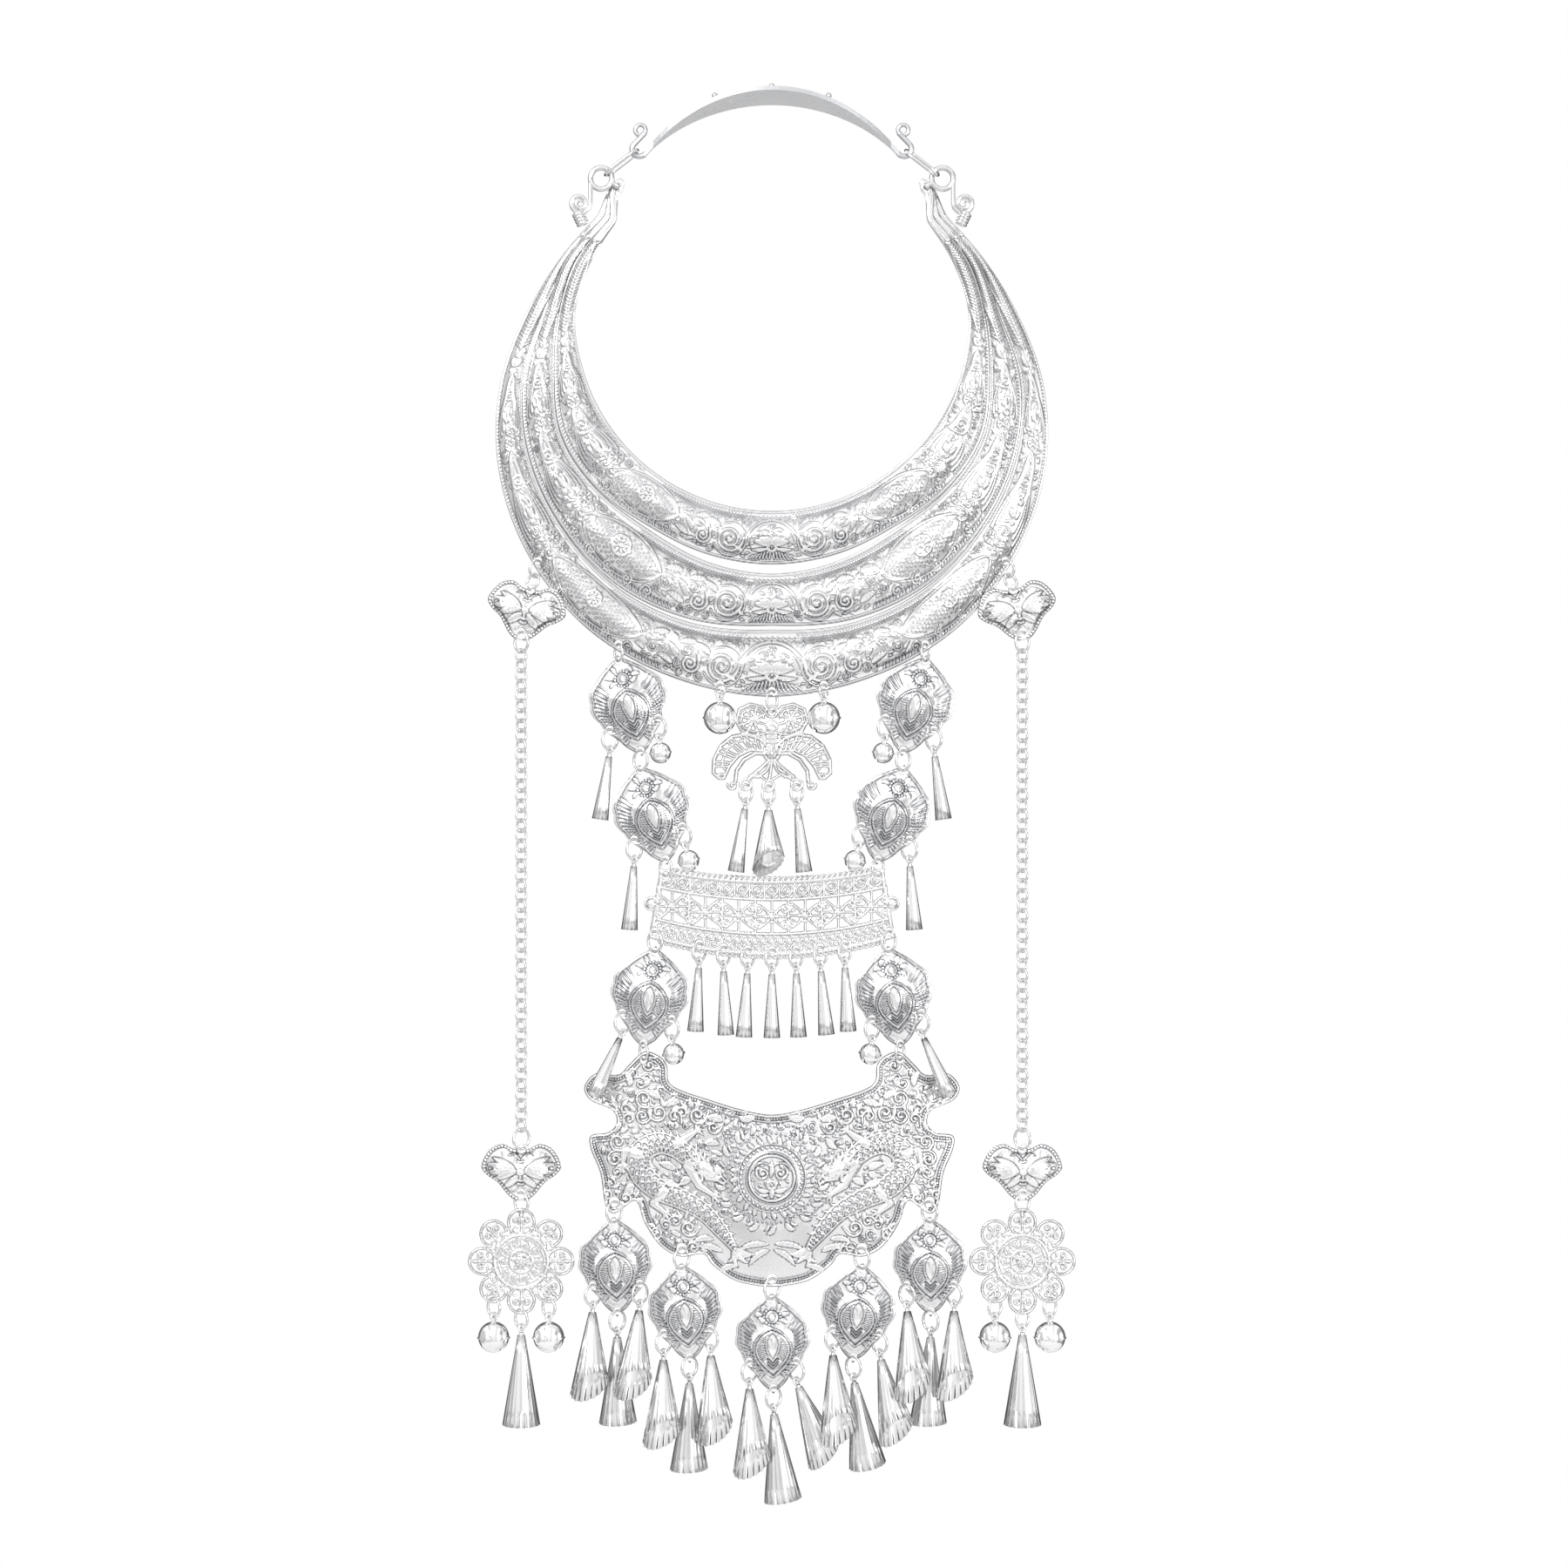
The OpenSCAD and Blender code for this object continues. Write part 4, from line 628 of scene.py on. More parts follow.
class Tier:
    """One crescent: its outline, its dome, and the work chased along it. Angles are in degrees from the
    middle; heights between the edges are in half widths, positive towards the neck."""

    def __init__(self, i):
        self.low, self.high = tier_edges(i)
        self.mid, self.half = (self.low + self.high) / 2, (self.high - self.low) / 2
        reach = max(self.high * np.sin(np.radians(ANGLES))) + 0.5
        top = max(-self.high * np.cos(np.radians(ANGLES))) + 0.5
        box = (-reach, reach, -NECK_DROP - self.high[0] - 0.5, -NECK_DROP + top)
        self.relief = Relief(box, 0.11, 0.27, 0.85)
        self.rng = np.random.default_rng(20 + i)

    def polar(self, x, z):
        r = np.hypot(x, z + NECK_DROP)
        ang = np.degrees(np.arctan2(np.abs(x), -(z + NECK_DROP)))
        return r, ang, np.interp(ang, ANGLES, self.low), np.interp(ang, ANGLES, self.high)

    def field(self, x, z):
        r, ang, lo, hi = self.polar(x, z)
        return np.minimum(np.minimum(r - lo, hi - r), np.radians(END_ANGLE - ang) * r)

    def rise(self, x, z):
        r, ang, lo, hi = self.polar(x, z)
        w = hi - lo
        t = (r - lo) / w
        u = np.clip((t - FLANGE) / (1 - 2 * FLANGE), 0, 1)
        flatter = 1 - 0.85 * smooth((ang - 104) / (TIP_ANGLE - 104))
        boss = np.exp(-((t - 0.5) / 0.2) ** 2) * (0.5 + 0.5 * np.cos(np.radians(360 * ang / 7.5)))
        return np.sin(np.pi * u) ** 0.8 * w * DOME_SHARE * flatter + 0.45 * boss * smooth(w / 12 - 0.3)

    def spot(self, angle, side, b):
        """Points at angles and heights, on the right for side 1."""
        r = np.interp(np.abs(angle), ANGLES, self.mid) - b * np.interp(np.abs(angle), ANGLES, self.half)
        turn = np.radians(angle)
        return np.stack([side * r * np.sin(turn), -NECK_DROP - r * np.cos(turn)], -1)

    def half_at(self, angle):
        return float(np.interp(angle, ANGLES, self.half))

    def degrees(self, angle):
        """How many degrees a half width takes at an angle."""
        return math.degrees(np.interp(angle, ANGLES, self.half / self.mid))

    def pen(self, angle, side, b=0.0, scale=1.0, turn=0.0):
        """A pen in half widths: first axis along the tier to its tip, second across it to the neck."""
        half = self.half_at(angle)
        mid = np.interp(angle, ANGLES, self.mid)

        def place(p):
            return self.spot(angle + np.degrees(p[:, 0] * half / mid), side, p[:, 1])
        return Pen(self.relief, place, half).at(0, b, turn, scale)

    def combed(self, side, a0, a1, step, b0, b1, lean, w, h):
        """Oblique strokes in a row, w and step in millimetres."""
        ang = a0
        while ang < a1:
            share = w / self.half_at(ang)
            stroke = [[0, b0], [lean * 0.5, (b0 + b1) / 2 + 0.03], [lean, b1]]
            self.pen(ang, side).line(stroke, [share, 0.9 * share, 0.4 * share], h)
            ang += step / self.half_at(ang) * self.degrees(ang)

    def stipple(self, side, a0, a1, b0, b1, h, pitch=1.5, r=0.36):
        """Dots in a lens-shaped field, pitch and r in millimetres."""
        ang, odd = a0, 0
        while ang < a1:
            half = self.half_at(ang)
            n = max(1, int((b1 - b0) * half / pitch))
            pen = self.pen(ang, side)
            taper = math.sqrt(max(0.0, 1 - ((ang - a0) / (a1 - a0) * 2 - 1) ** 2))
            for b in (np.arange(n) + 0.5 * odd) / n * (b1 - b0) + b0:
                if abs(b - (b0 + b1) / 2) <= taper * (b1 - b0) / 2:
                    x = 0.12 * pitch / half * self.rng.uniform(-1, 1)
                    pen.bead(x, b, r / half * self.rng.uniform(0.8, 1.2), h)
            ang += 0.87 * pitch / half * self.degrees(ang)
            odd = 1 - odd

    def cartouche(self, side, a0, a1, h):
        """Lens-shaped field: a double border, stippled ground, and a round flower in it."""
        mid, span = (a0 + a1) / 2, (a1 - a0) / 2
        k = np.linspace(-1, 1, 25)
        for grow, w in ((1.0, 0.32), (0.86, 0.2)):
            for s in (-1, 1):
                bow = s * 0.72 * grow * (1 - np.abs(k) ** 2.2) ** 0.7 - 0.02
                self.relief.stroke(self.spot(mid + k * span, side, bow), w, h)
        self.stipple(side, a0 + 0.12 * span, a1 - 0.12 * span, -0.55, 0.52, h * 0.45)
        self.pen(mid, side, 0.08, 0.34).flower(1, 9, h)

    def nested_loop(self, side, a0, a1, h):
        """Long loop of parallel lines closed at the tip end, with a curl and leaves inside it."""
        t = np.concatenate([np.linspace(0, 1, 16), np.linspace(1, 0, 16)])
        bow = 0.7 * np.sqrt(1 - t ** 3.2) * (0.55 + 0.45 * np.sin(np.pi * np.minimum(1, t + 0.35)))
        bow[:16] *= -1
        for k, (grow, w) in enumerate(((1.0, 0.34), (0.8, 0.28), (0.6, 0.26))):
            ang = mix(a0, a1, 0.06 * k + (1 - 0.06 * k) * t * (1 - 0.05 * k))
            self.relief.stroke(self.spot(ang, side, grow * bow), w, h * (1 - 0.12 * k))
        self.pen(mix(a0, a1, 0.66), side, 0.0, 0.36).spiral(1, 1.7, 0.16, h, 180, 1, 1.6)
        inner = self.pen(mix(a0, a1, 0.34), side, -0.05, 0.3)
        inner.leaf([-1.6, 0.1], [0.3, 0.0], 0.4, h, 0.15, 4)
        inner.leaf([-1.5, -0.5], [-0.1, -0.75], 0.22, h * 0.8)
        inner.leaf([-1.5, 0.6], [-0.1, 0.85], 0.22, h * 0.8)

    def palmette(self, h):
        """Middle motif: a comb of strokes, two striped petals, a flower, and arcs above it."""
        for side in (-1, 1):
            pen = self.pen(0, side)
            for k in range(7):
                x = 0.05 + 0.1 * k
                pen.line([[x, -0.52 - 0.03 * k], [x * 1.18 + 0.02, -0.8 - 0.004 * k]], [0.036, 0.03], h)
            for r, turn in ((0.68, 14), (0.56, 32), (0.44, 54)):
                pen.leaf([0, -0.36] + 0.08 * toward(turn), [0, -0.36] + r * toward(turn), 0.105, h, 0.05, 5)
            pen.leaf([0.1, -0.42], [0.74, -0.5], 0.07, h, -0.03)
            pen.ring(0.86, 0.035, h * 0.8, 0, -0.34, 20, 8, 88)
            pen.ring(0.98, 0.03, h * 0.7, 0, -0.34, 20, 12, 88)
            for k in range(4):
                pen.ring(0.085, 0.026, h * 0.7, 0.09 + 0.18 * k, 0.76, 10, 180, 360)
            pen.leaf([1.02, -0.62], [1.36, -0.46], 0.07, h, 0.04)
        pen = self.pen(0, 1)
        pen.flower(0.17, 8, h * 1.2, 0, -0.36)
        pen.flower(0.16, 7, h, 0, 0.4, False)

    def middle(self, side, h):
        """Two curls and five leaves beside the palmette."""
        unit = self.degrees(8)
        big = self.pen(1.55 * unit, side, -0.22, 0.5)
        big.spiral(0.95, 2.2, 0.12, h, 200, 1, 0.5)
        big.ring(1.22, 0.06, h * 0.7, 0, 0, 26, 60, 330)
        self.pen(2.55 * unit, side, -0.36, 0.3).spiral(1, 1.9, 0.16, h, 160, 1, 1.2)
        for a, b, turn in TIER_LEAVES:
            self.pen(a * unit, side, b, 0.42, turn).leaf([-0.7, 0], [0.7, 0.1], 0.26, h, 0.12, 4)

    def tip(self, side, start, h):
        """Herringbone from an angle to the narrow part, then plain ribs."""
        length = (112 - start) / self.degrees(start)
        half = self.half_at(start)
        self.pen(start, side).feather(length, 0.66, int(length * half / 1.15), 0.3 / half, h, 0.8)
        ang = np.linspace(113, 129, 18)
        for b in (-0.55, 0, 0.55):
            rib = self.spot(ang, side, b * (1 - 0.25 * smooth((ang - 118) / 12)))
            self.relief.stroke(rib, np.linspace(0.5, 0.35, 18), h * 0.9)
        for b in (-0.93, 0.93):
            self.relief.stroke(self.spot(np.linspace(0, 128, 150), side, b), 0.3, 0.16)

    def chase(self, shift, h=0.5):
        """Draws the whole tier; shift moves its fields along it."""
        self.palmette(h)
        a = 22 + 3 * shift
        for side in (-1, 1):
            unit = self.degrees(8)
            self.middle(side, h)
            self.combed(side, 0.9 * unit, 30 + 3 * shift, 1.05, 0.86, 0.62, 0.2, 0.26, h * 0.7)
            self.combed(side, 3.4 * unit, 46, 1.15, -0.86, -0.7, 0.12, 0.27, h * 0.6)
            self.cartouche(side, a, a + 20, h)
            for k in range(5):
                curl = self.pen(a + 1.5 + 4.4 * k, side, -0.66, 0.17, 30 * k)
                curl.spiral(1, 1.4, 0.2, h, 90 * k, 1, 0.8)
            self.pen(a + 21.5, side, -0.1, 0.46).cloud(1.0, h)
            self.pen(a + 22.5, side, 0.42, 0.3).flower(1, 8, h)
            self.nested_loop(side, a + 24, a + 40, h)
            for s in (-1, 1):
                self.combed(side, a + 24, 100, 1.1, 0.88 * s, 0.76 * s, 0.1, 0.24, h * 0.5)
            self.pen(a + 41.5, side, 0, 0.36).flower(1, 8, h)
            self.nested_loop(side, a + 43, a + 55, h)
            self.stipple(side, a + 45, a + 50, -0.6, 0.6, h * 0.4)
            for s in (-1, 1):
                self.pen(a + 57.5, side, 0, 0.8).leaf([-0.5, 0.1 * s], [0.5, 0.5 * s], 0.2, h, 0.1 * s, 4)
            self.tip(side, a + 60, h)

        def room(x, z):
            return np.where(self.polar(x, z)[1] < 112, self.field(x, z) - 0.9, -1)

        def along(x, z):
            return np.degrees(np.arctan2(x, -(z + NECK_DROP)))
        fill_bare(self.relief, room, 0.3, 60000, (1.9, 1.5, 1.15, 0.85), self.rng, h, along)
        self.relief.finish(0.4)


def build_tier(i, node):
    tier = Tier(i)
    tier.chase(FIELD_SHIFTS[node])
    holes = [(s * TIP[0], TIP[1], TIP_HOLE_R) for s in (-1, 1)]
    if node == "outer_tier":
        holes += [(s * x, z, COLLAR_HOLE_R) for x, z in COLLAR_HOLES for s in (-1, 1)]
    field = with_holes(tier.field, holes)

    def front(x, z):
        r, ang, lo, hi = tier.polar(x, z)
        calm = smooth(np.minimum(r - lo, hi - r) / (0.12 * (hi - lo)) - 0.25) * clear_of(holes, x, z, 0.9)
        fade = 1 - 0.6 * smooth((ang - 112) / 10)
        work = tier.relief.height(x, z) * (0.25 + 0.75 * calm) * fade
        return SHEET - TIER_BACK[i] + tier.rise(x, z) + work - lip(field(x, z), 0.18)

    def back(x, z):
        return -TIER_BACK[i] + tier.rise(x, z)

    def tone(x, z):
        """Scales the painted shade: darker on the lower flank than above."""
        r, ang, lo, hi = tier.polar(x, z)
        return mix(0.7, 1.2, smooth(((r - lo) / (hi - lo) - 0.5) / 0.3) * (1 - 0.6 * smooth(ang / 45)))
    points, tris, painted_shade = dressed_mesh(tier.relief, field, front, back, 0.308, 1.3, tone=tone)
    dress(node, "collar", points, tris, WORKED, painted_shade)


for number, tier_node in enumerate(FIELD_SHIFTS):
    build_tier(number, tier_node)


# Leaf plaques: a scalloped flat rim and a domed middle, chased with a flower and veined leaves

# Half widths at even steps from the top to the point, in shares of half the plaque's width
LEAF_HALVES = [0, 0.30, 0.62, 0.85, 0.96, 0.98, 0.92, 0.80, 0.64, 0.45, 0.26, 0]


def leaf_outline(length, w, inset, scallop, n=90):
    t = np.linspace(0, 1, n + 1)
    half = through(LEAF_HALVES, t * 11) * (1 + scallop * (np.abs(np.sin(np.pi * 5 * t)) - 0.5))
    x = np.maximum(0.01, half * (w / 2 - inset) + (0.48 * np.sin(np.pi * t) if inset <= 0 else 0))
    z = EDGE - inset - t * (length + 2 * EDGE - 2 * inset)
    return halves(np.stack([x, z], 1))


def pointed_arch(pen, side, reach, z0, z1, w, h):
    """Draws one side of an arch and gives its points."""
    t = np.linspace(0, 1, 21)
    pts = np.stack([side * reach * np.sin(np.pi * t ** 0.85) ** 0.8, mix(z0, z1, t)], 1)
    pen.line(pts, w, h)
    return pts


def combed_rim(pen, length, w, plain, h):
    rims = [leaf_outline(length, w, d, 0.05) for d in (1.35, 2.7, 4.6 if plain else 5.4)]
    last = rims[1][0]
    for a, m, b in list(zip(*rims))[:len(rims[0]) // 2]:
        if not -0.9 * length < a[1] < -0.2 * length or np.hypot(*(m - last)) < 1.15:
            continue
        last = m
        for s in (-1, 1):
            pen.line(np.array([a, m + [0, -0.5], b + [0, -1.6]]) * [s, 1], [0.26, 0.28, 0.18], h * 0.8)
    pen.line(closed(leaf_outline(length, w, 0.8, 0.05, 120)), 0.28, 0.24)


def plaque_relief(length, w, plain, h=0.42):
    """Flower boss at the top, a double pointed arch with combed sides below it, and a combed rim."""
    relief = Relief((-w / 2 - 1.2, w / 2 + 1.2, -length - EDGE - 0.6, EDGE + 0.6), 0.09, 0.32, 1.0)
    pen = Pen(relief)
    top = -0.2 * length
    pen.line([[0, top]], 1.5, 0.9, under=True)
    pen.ring(1.75, 0.26, h, 0, top)
    pen.bead_ring(2.75, 16, 0.4, h, top)
    for s in (-1, 1):
        for x, z, turn in ((3.6, -1.4, -40), (4.3, 0.6, 10), (2.6, 3.0, 60)):
            pen.at(s * x, top + z, turn, 1.5, s).leaf([-0.5, 0], [1.1, 0.1], 0.5, h * 0.8, 0.2, 3)
        outer = pointed_arch(pen, s, 5.6, -0.36 * length, -0.82 * length, 0.32, h)
        pointed_arch(pen, s, 6.5, -0.32 * length, -0.88 * length, 0.26, h)
        inner = pointed_arch(pen, s, 2.3, -0.36 * length, -0.68 * length, 0.3, h)
        for k in range(3, 17):
            ray = [mix(inner[k], outer[k], 0.22), mix(inner[k], outer[k - 1], 0.88) + [0, 0.5]]
            pen.line(ray, 0.27, h * 0.8)
        for k in range(6):
            z = -0.62 * length - 1.15 * k
            pen.line([[0, z - 2.2], [s * 1.7, z - 0.5]], 0.2, h * 0.6)
            if not plain:
                barb = [[s * 4.6, -0.72 * length - 0.9 * k], [s * 6.6, -0.69 * length - 0.7 * k]]
                pen.line(barb, 0.24, h * 0.8)
    combed_rim(pen, length, w, plain, h)
    return relief.finish(0.4)


def plaque_mesh(length, w, height, plain):
    relief = plaque_relief(length, w, plain)
    spots = [(0, 0), (0, -length), (0.325 * w, -0.7 * length), (-0.325 * w, -0.7 * length)]
    holes = [(x, z, HOLE_R) for x, z in spots]
    flat = polygon_field(leaf_outline(length, w, 0, 0.06))
    field = with_holes(flat, holes)

    def swell(x, z):
        return dome(x, z + length / 2, length / 2, height) * smooth((flat(x, z) - 0.5) / 12.0)

    def front(x, z):
        calm = smooth((flat(x, z) - 0.1) / 0.5) * clear_of(holes, x, z)
        return SHEET / 2 + swell(x, z) + relief.height(x, z) * np.maximum(calm, 0.15) - lip(field(x, z))

    def back(x, z):
        return -SHEET / 2 + swell(x, z)
    return dressed_mesh(relief, field, front, back, 0.35, 1.3)


# Upper hole of each plaque, and its lean
LEG = [((53.002, HANG_Y, -193.862), 13.9), ((45.362, HANG_Y, -231.731), 15.8),
       ((40.393, HANG_Y, -294.379), -7.112)]
FRINGE = [((-54.47, 3.474, -387.766), -2), ((-31.07, 1.011, -403.407), -5), ((0, 0.432, -413.781), -1),
          ((31.07, 1.011, -403.407), 5.5), ((54.47, 3.474, -387.766), -0.8)]
leg_plaque = plaque_mesh(*LEG_PLAQUE, False)
for k, (place, lean) in enumerate(LEG):
    dress_pair(f"plaque_SIDE_{k + 1}", "drop", leg_plaque, place, lean)
points, tris, painted_shade = plaque_mesh(*FRINGE_PLAQUE, True)
for k, (place, lean) in enumerate(FRINGE):
    dress(f"fringe_plaque_{k + 1}", "breastplate", in_frame(points, place, lean), tris, WORKED, painted_shade)


# Breastplate: beaded rim, a middle medallion, and two dragons among clouds

PLATE_W, PLATE_H, PLATE_T = 130.0, 79.8, 1.0
PLATE_BACK, PLATE_TOP, PLATE_MID, PLATE_BALL, PLATE_DOME = 4.937, -329.534, -42.294, 300.0, 7.0417
# Right half from the top middle: x in half widths, depth in heights
PLATE_HALF = [
    [0.000, 0.259], [0.161, 0.237], [0.346, 0.192], [0.488, 0.154], [0.548, 0.118], [0.558, 0.050],
    [0.604, 0.008], [0.682, -0.006], [0.760, 0.050], [0.820, 0.094], [0.935, 0.088], [1.000, 0.147],
    [0.965, 0.205], [0.850, 0.245], [0.825, 0.300], [0.870, 0.342], [0.963, 0.357], [0.963, 0.417],
    [0.912, 0.519], [0.885, 0.654], [0.836, 0.692], [0.738, 0.636], [0.705, 0.656], [0.675, 0.730],
    [0.590, 0.830], [0.484, 0.874], [0.364, 0.862], [0.313, 0.910], [0.200, 0.975], [0.070, 1.000],
    [0.000, 1.003]]
# Lower holes, in the same shares
PLATE_LOW = [(-0.838, 0.642), (0.838, 0.642), (-0.478, 0.838), (0.478, 0.838), (0.0, 0.968)]
# What is chased on it, in radii of the medallion. Body from the neck to the tail: x, z, half width
DRAGON = np.array([
    [2.60, 0.15, 0.16], [3.00, 0.45, 0.36], [3.55, 0.85, 0.42], [4.30, 1.35, 0.44], [5.05, 1.50, 0.48],
    [5.75, 1.10, 0.52], [5.80, 0.25, 0.52], [5.05, -0.50, 0.48], [4.00, -0.95, 0.44], [3.00, -1.50, 0.38],
    [2.25, -2.30, 0.30], [1.65, -3.10, 0.14]])
# Foot, knee and hip: x, z
DRAGON_LEGS = (([2.6, -0.75], [3.2, -0.35], [3.75, 0.6]), ([3.35, 2.05], [3.75, 1.75], [4.2, 1.5]),
               ([4.75, -1.55], [5.25, -1.15], [4.75, -0.6]), ([6.6, 0.55], [6.5, 1.15], [5.9, 1.0]))
# Clouds: x, z, size, turn, hand
CLOUDS = ((3.55, 2.75, 0.62, 0, 1), (4.75, 2.75, 0.66, 20, -1), (5.95, 2.6, 0.55, -20, 1),
          (6.95, 1.75, 0.6, 60, 1), (6.95, 0.55, 0.52, 90, -1), (7.25, -0.65, 0.5, 100, 1),
          (6.3, -1.1, 0.55, 40, -1), (3.9, -2.15, 0.58, 20, 1), (4.95, -2.35, 0.5, -30, -1),
          (2.75, 2.25, 0.45, 10, 1), (3.3, -3.05, 0.42, 160, 1), (5.75, 3.7, 0.6, 70, 1),
          (6.9, 2.95, 0.6, 10, -1), (7.6, 3.1, 0.35, 40, 1), (5.5, 4.7, 0.5, 110, -1))
# Leaves: x, z, direction, length
LEAVES = ((2.2, 2.5, 10, 0.7), (4.1, 3.3, -15, 0.7), (1.4, 2.62, 170, 0.7), (5.0, 3.45, 30, 0.6),
          (6.3, 4.0, 70, 0.7), (7.7, 0.2, -70, 0.6), (5.6, -2.0, 20, 0.7), (6.1, -0.4, -50, 0.6),
          (4.3, 0.35, 20, 0.7), (4.7, -0.1, 200, 0.6), (3.6, -0.1, -30, 0.5), (6.7, -1.6, 60, 0.5))
LOW_LEAVES = ((0.15, -2.95, -12, 1.35), (0.1, -3.2, -38, 1.15), (0.9, -3.45, -18, 1.1),
              (1.5, -3.9, -25, 1.0), (2.2, -3.3, 12, 1.1), (2.6, -2.75, -10, 0.9))
MEDAL = 7.8


def plate_outline():
    rows = np.array(PLATE_HALF)
    rows = np.concatenate([rows[1:2] * [-1, 1], rows, rows[-2:-1] * [-1, 1]])
    half = through(rows, np.linspace(1, len(PLATE_HALF), 181)) * [PLATE_W / 2, -PLATE_H]
    return halves(half)


def inwards(pts, d):
    """A closed outline moved inwards."""
    along = np.roll(pts, -1, 0) - np.roll(pts, 1, 0)
    along /= np.hypot(along[:, 0], along[:, 1])[:, None] + 1e-9
    return pts + d * np.stack([along[:, 1], -along[:, 0]], 1)


def dragon_body(pen, h):
    """Scaled body with a crest."""
    rows = through(DRAGON, np.linspace(0, len(DRAGON) - 1, 67))
    mid, half = rows[:, :2], rows[:, 2]
    d = np.gradient(mid, axis=0)
    d /= np.hypot(d[:, 0], d[:, 1])[:, None]
    side = np.stack([-d[:, 1], d[:, 0]], 1)
    pen.line(mid, half * 1.05, 1.0, under=True)
    for s in (-0.95, 0.95):
        pen.line(mid + side * half[:, None] * s, 0.05, h * 0.6)
    for k in range(4, 66):
        w = half[k]
        for row, reach in enumerate((-0.62, -0.2, 0.22, 0.62)):
            if (k + row) % 2:
                continue
            c = mid[k] + side[k] * w * reach
            a0 = math.degrees(math.atan2(-d[k][1], -d[k][0]))
            pen.ring(0.15 * w / 0.45, 0.038, h * 0.5, c[0], c[1], 7, a0 - 85, a0 + 85)
    for k in range(6, 64, 2):
        out = side[k] if k < 34 else -side[k]
        base = mid[k] + out * half[k]
        pen.line([base, base + out * 0.16 + d[k] * 0.14], [0.07, 0.02], h * 0.8)


def dragon_head(pen, h):
    """Head towards the medallion: snout, eye, horn, mane and whisker."""
    pen.line([[2.95, 0.42], [2.55, 0.28], [2.28, 0.36]], [0.36, 0.27, 0.13], h * 1.5)
    pen.line([[2.72, 0.02], [2.42, -0.06], [2.26, 0.06]], [0.17, 0.12, 0.06], h * 1.1)
    pen.bead(2.66, 0.48, 0.11, h * 1.9)
    pen.bead(2.3, 0.42, 0.08, h * 1.6)
    pen.line([[2.9, 0.66], [3.1, 0.95], [3.42, 1.05]], [0.1, 0.07, 0.02], h * 1.2)
    for a, reach in ((150, 0.75), (128, 0.85), (104, 0.8), (-62, 0.7), (-85, 0.72)):
        u = toward(a) * [-1, 1]
        base = np.array([3.12, 0.42])
        lock = [base + 0.3 * u, base + reach * 0.75 * u, base + reach * u + [0.1, 0.08]]
        pen.line(lock, [0.09, 0.07, 0.02], h)
    pen.line([[2.3, 0.2], [2.05, -0.15], [2.2, -0.5], [2.42, -0.42]], [0.05, 0.045, 0.04, 0.02], h)


def dragon_legs(pen, h):
    """Legs, each with four claws, and the forked tail."""
    for foot, knee, hip in DRAGON_LEGS:
        pen.line([hip, knee, foot], [0.22, 0.17, 0.11], h * 1.05)
        aim = math.degrees(math.atan2(foot[1] - knee[1], foot[0] - knee[0]))
        for a in (-55, -18, 18, 55):
            u = toward(aim + a)
            pen.line([foot, foot + 0.22 * u, foot + 0.38 * u + [0.02, -0.06]], [0.07, 0.06, 0.015], h)
    for a in (200, 232, 262):
        pen.leaf([1.62, -3.05], [1.62, -3.05] + 0.95 * toward(a), 0.12, h * 0.9, 0.12)


def medallion(pen, h):
    """Round face made of scrolls, ringed by beads and small leaves."""
    pen.line([[0, 0]], 1.35, 0.9, under=True, power=0.35)
    pen.line([[0, 0]], 2.3, 0.35, under=True, power=0.5)
    pen.ring(1.0, 0.055, h)
    pen.ring(1.13, 0.03, h * 0.6)
    for s in (-1, 1):
        pen.spiral(0.3, 1.5, 0.05, h * 0.8, 90 - s * 60, -s, 0.15, s * 0.4, 0.22)
        pen.ring(0.46, 0.04, h * 0.7, s * 0.4, 0.22, 20, 20, 200 if s > 0 else 160)
        pen.leaf([s * 0.1, -0.55], [s * 0.72, -0.4], 0.1, h * 0.6, -0.08 * s)
        pen.leaf([s * 0.12, -0.72], [s * 0.56, -0.72], 0.07, h * 0.6, -0.05 * s)
        pen.spiral(0.15, 1.2, 0.035, h * 0.6, 0, s, 0.1, s * 0.2, -0.2)
    pen.flower(0.2, 6, h * 0.8, 0, -0.3)
    pen.leaf([0, 0.1], [0, 0.8], 0.1, h * 0.7)
    pen.leaf([0, -0.5], [0, -0.9], 0.12, h * 0.7)
    pen.bead_ring(1.36, 40, 0.06, h * 0.7)
    pen.ring(1.5, 0.035, h * 0.6)
    for k in range(24):
        u, v = toward(k * 15), toward(k * 15 + 90)
        pen.leaf(1.54 * u, 1.86 * u + 0.12 * v, 0.09, h * 0.7, 0.05, 2)
    pen.bead_ring(1.98, 60, 0.042, h * 0.6)
    for k in range(18):
        u, v = toward(10 + k * 20), toward(100 + k * 20)
        hand = 1 if u[0] > 0 else -1
        if u[1] < 0.9:
            pen.leaf(2.08 * u - 0.1 * hand * v, 2.5 * u + 0.22 * hand * v, 0.11, h * 0.7, -0.1 * hand, 3)
            pen.leaf(2.08 * u + 0.12 * hand * v, 2.35 * u + 0.34 * hand * v, 0.06, h * 0.6, -0.05 * hand)


def clouds(pen, h):
    """Scroll clouds and leaves round one dragon."""
    for x, z, r, turn, flip in CLOUDS:
        pen.at(x, z, turn, r, flip).cloud(1.25, h)
    for x, z, a, length in LEAVES:
        pen.leaf([x, z], [x, z] + length * toward(a), 0.16, h * 0.8, 0.08, 4)
    for k in range(9):
        curl = pen.at(1.2 + 0.62 * k, 2.78 + 0.028 * k * k, 4 * k, 0.2, 1 if k % 2 else -1)
        curl.spiral(1, 1.3, 0.16, h * 0.6, 0, 1, 1)
    for x, z, a, length in LOW_LEAVES:
        pen.leaf([x, z], [x, z] + length * toward(a), 0.13, h * 0.7, 0.14, 5)


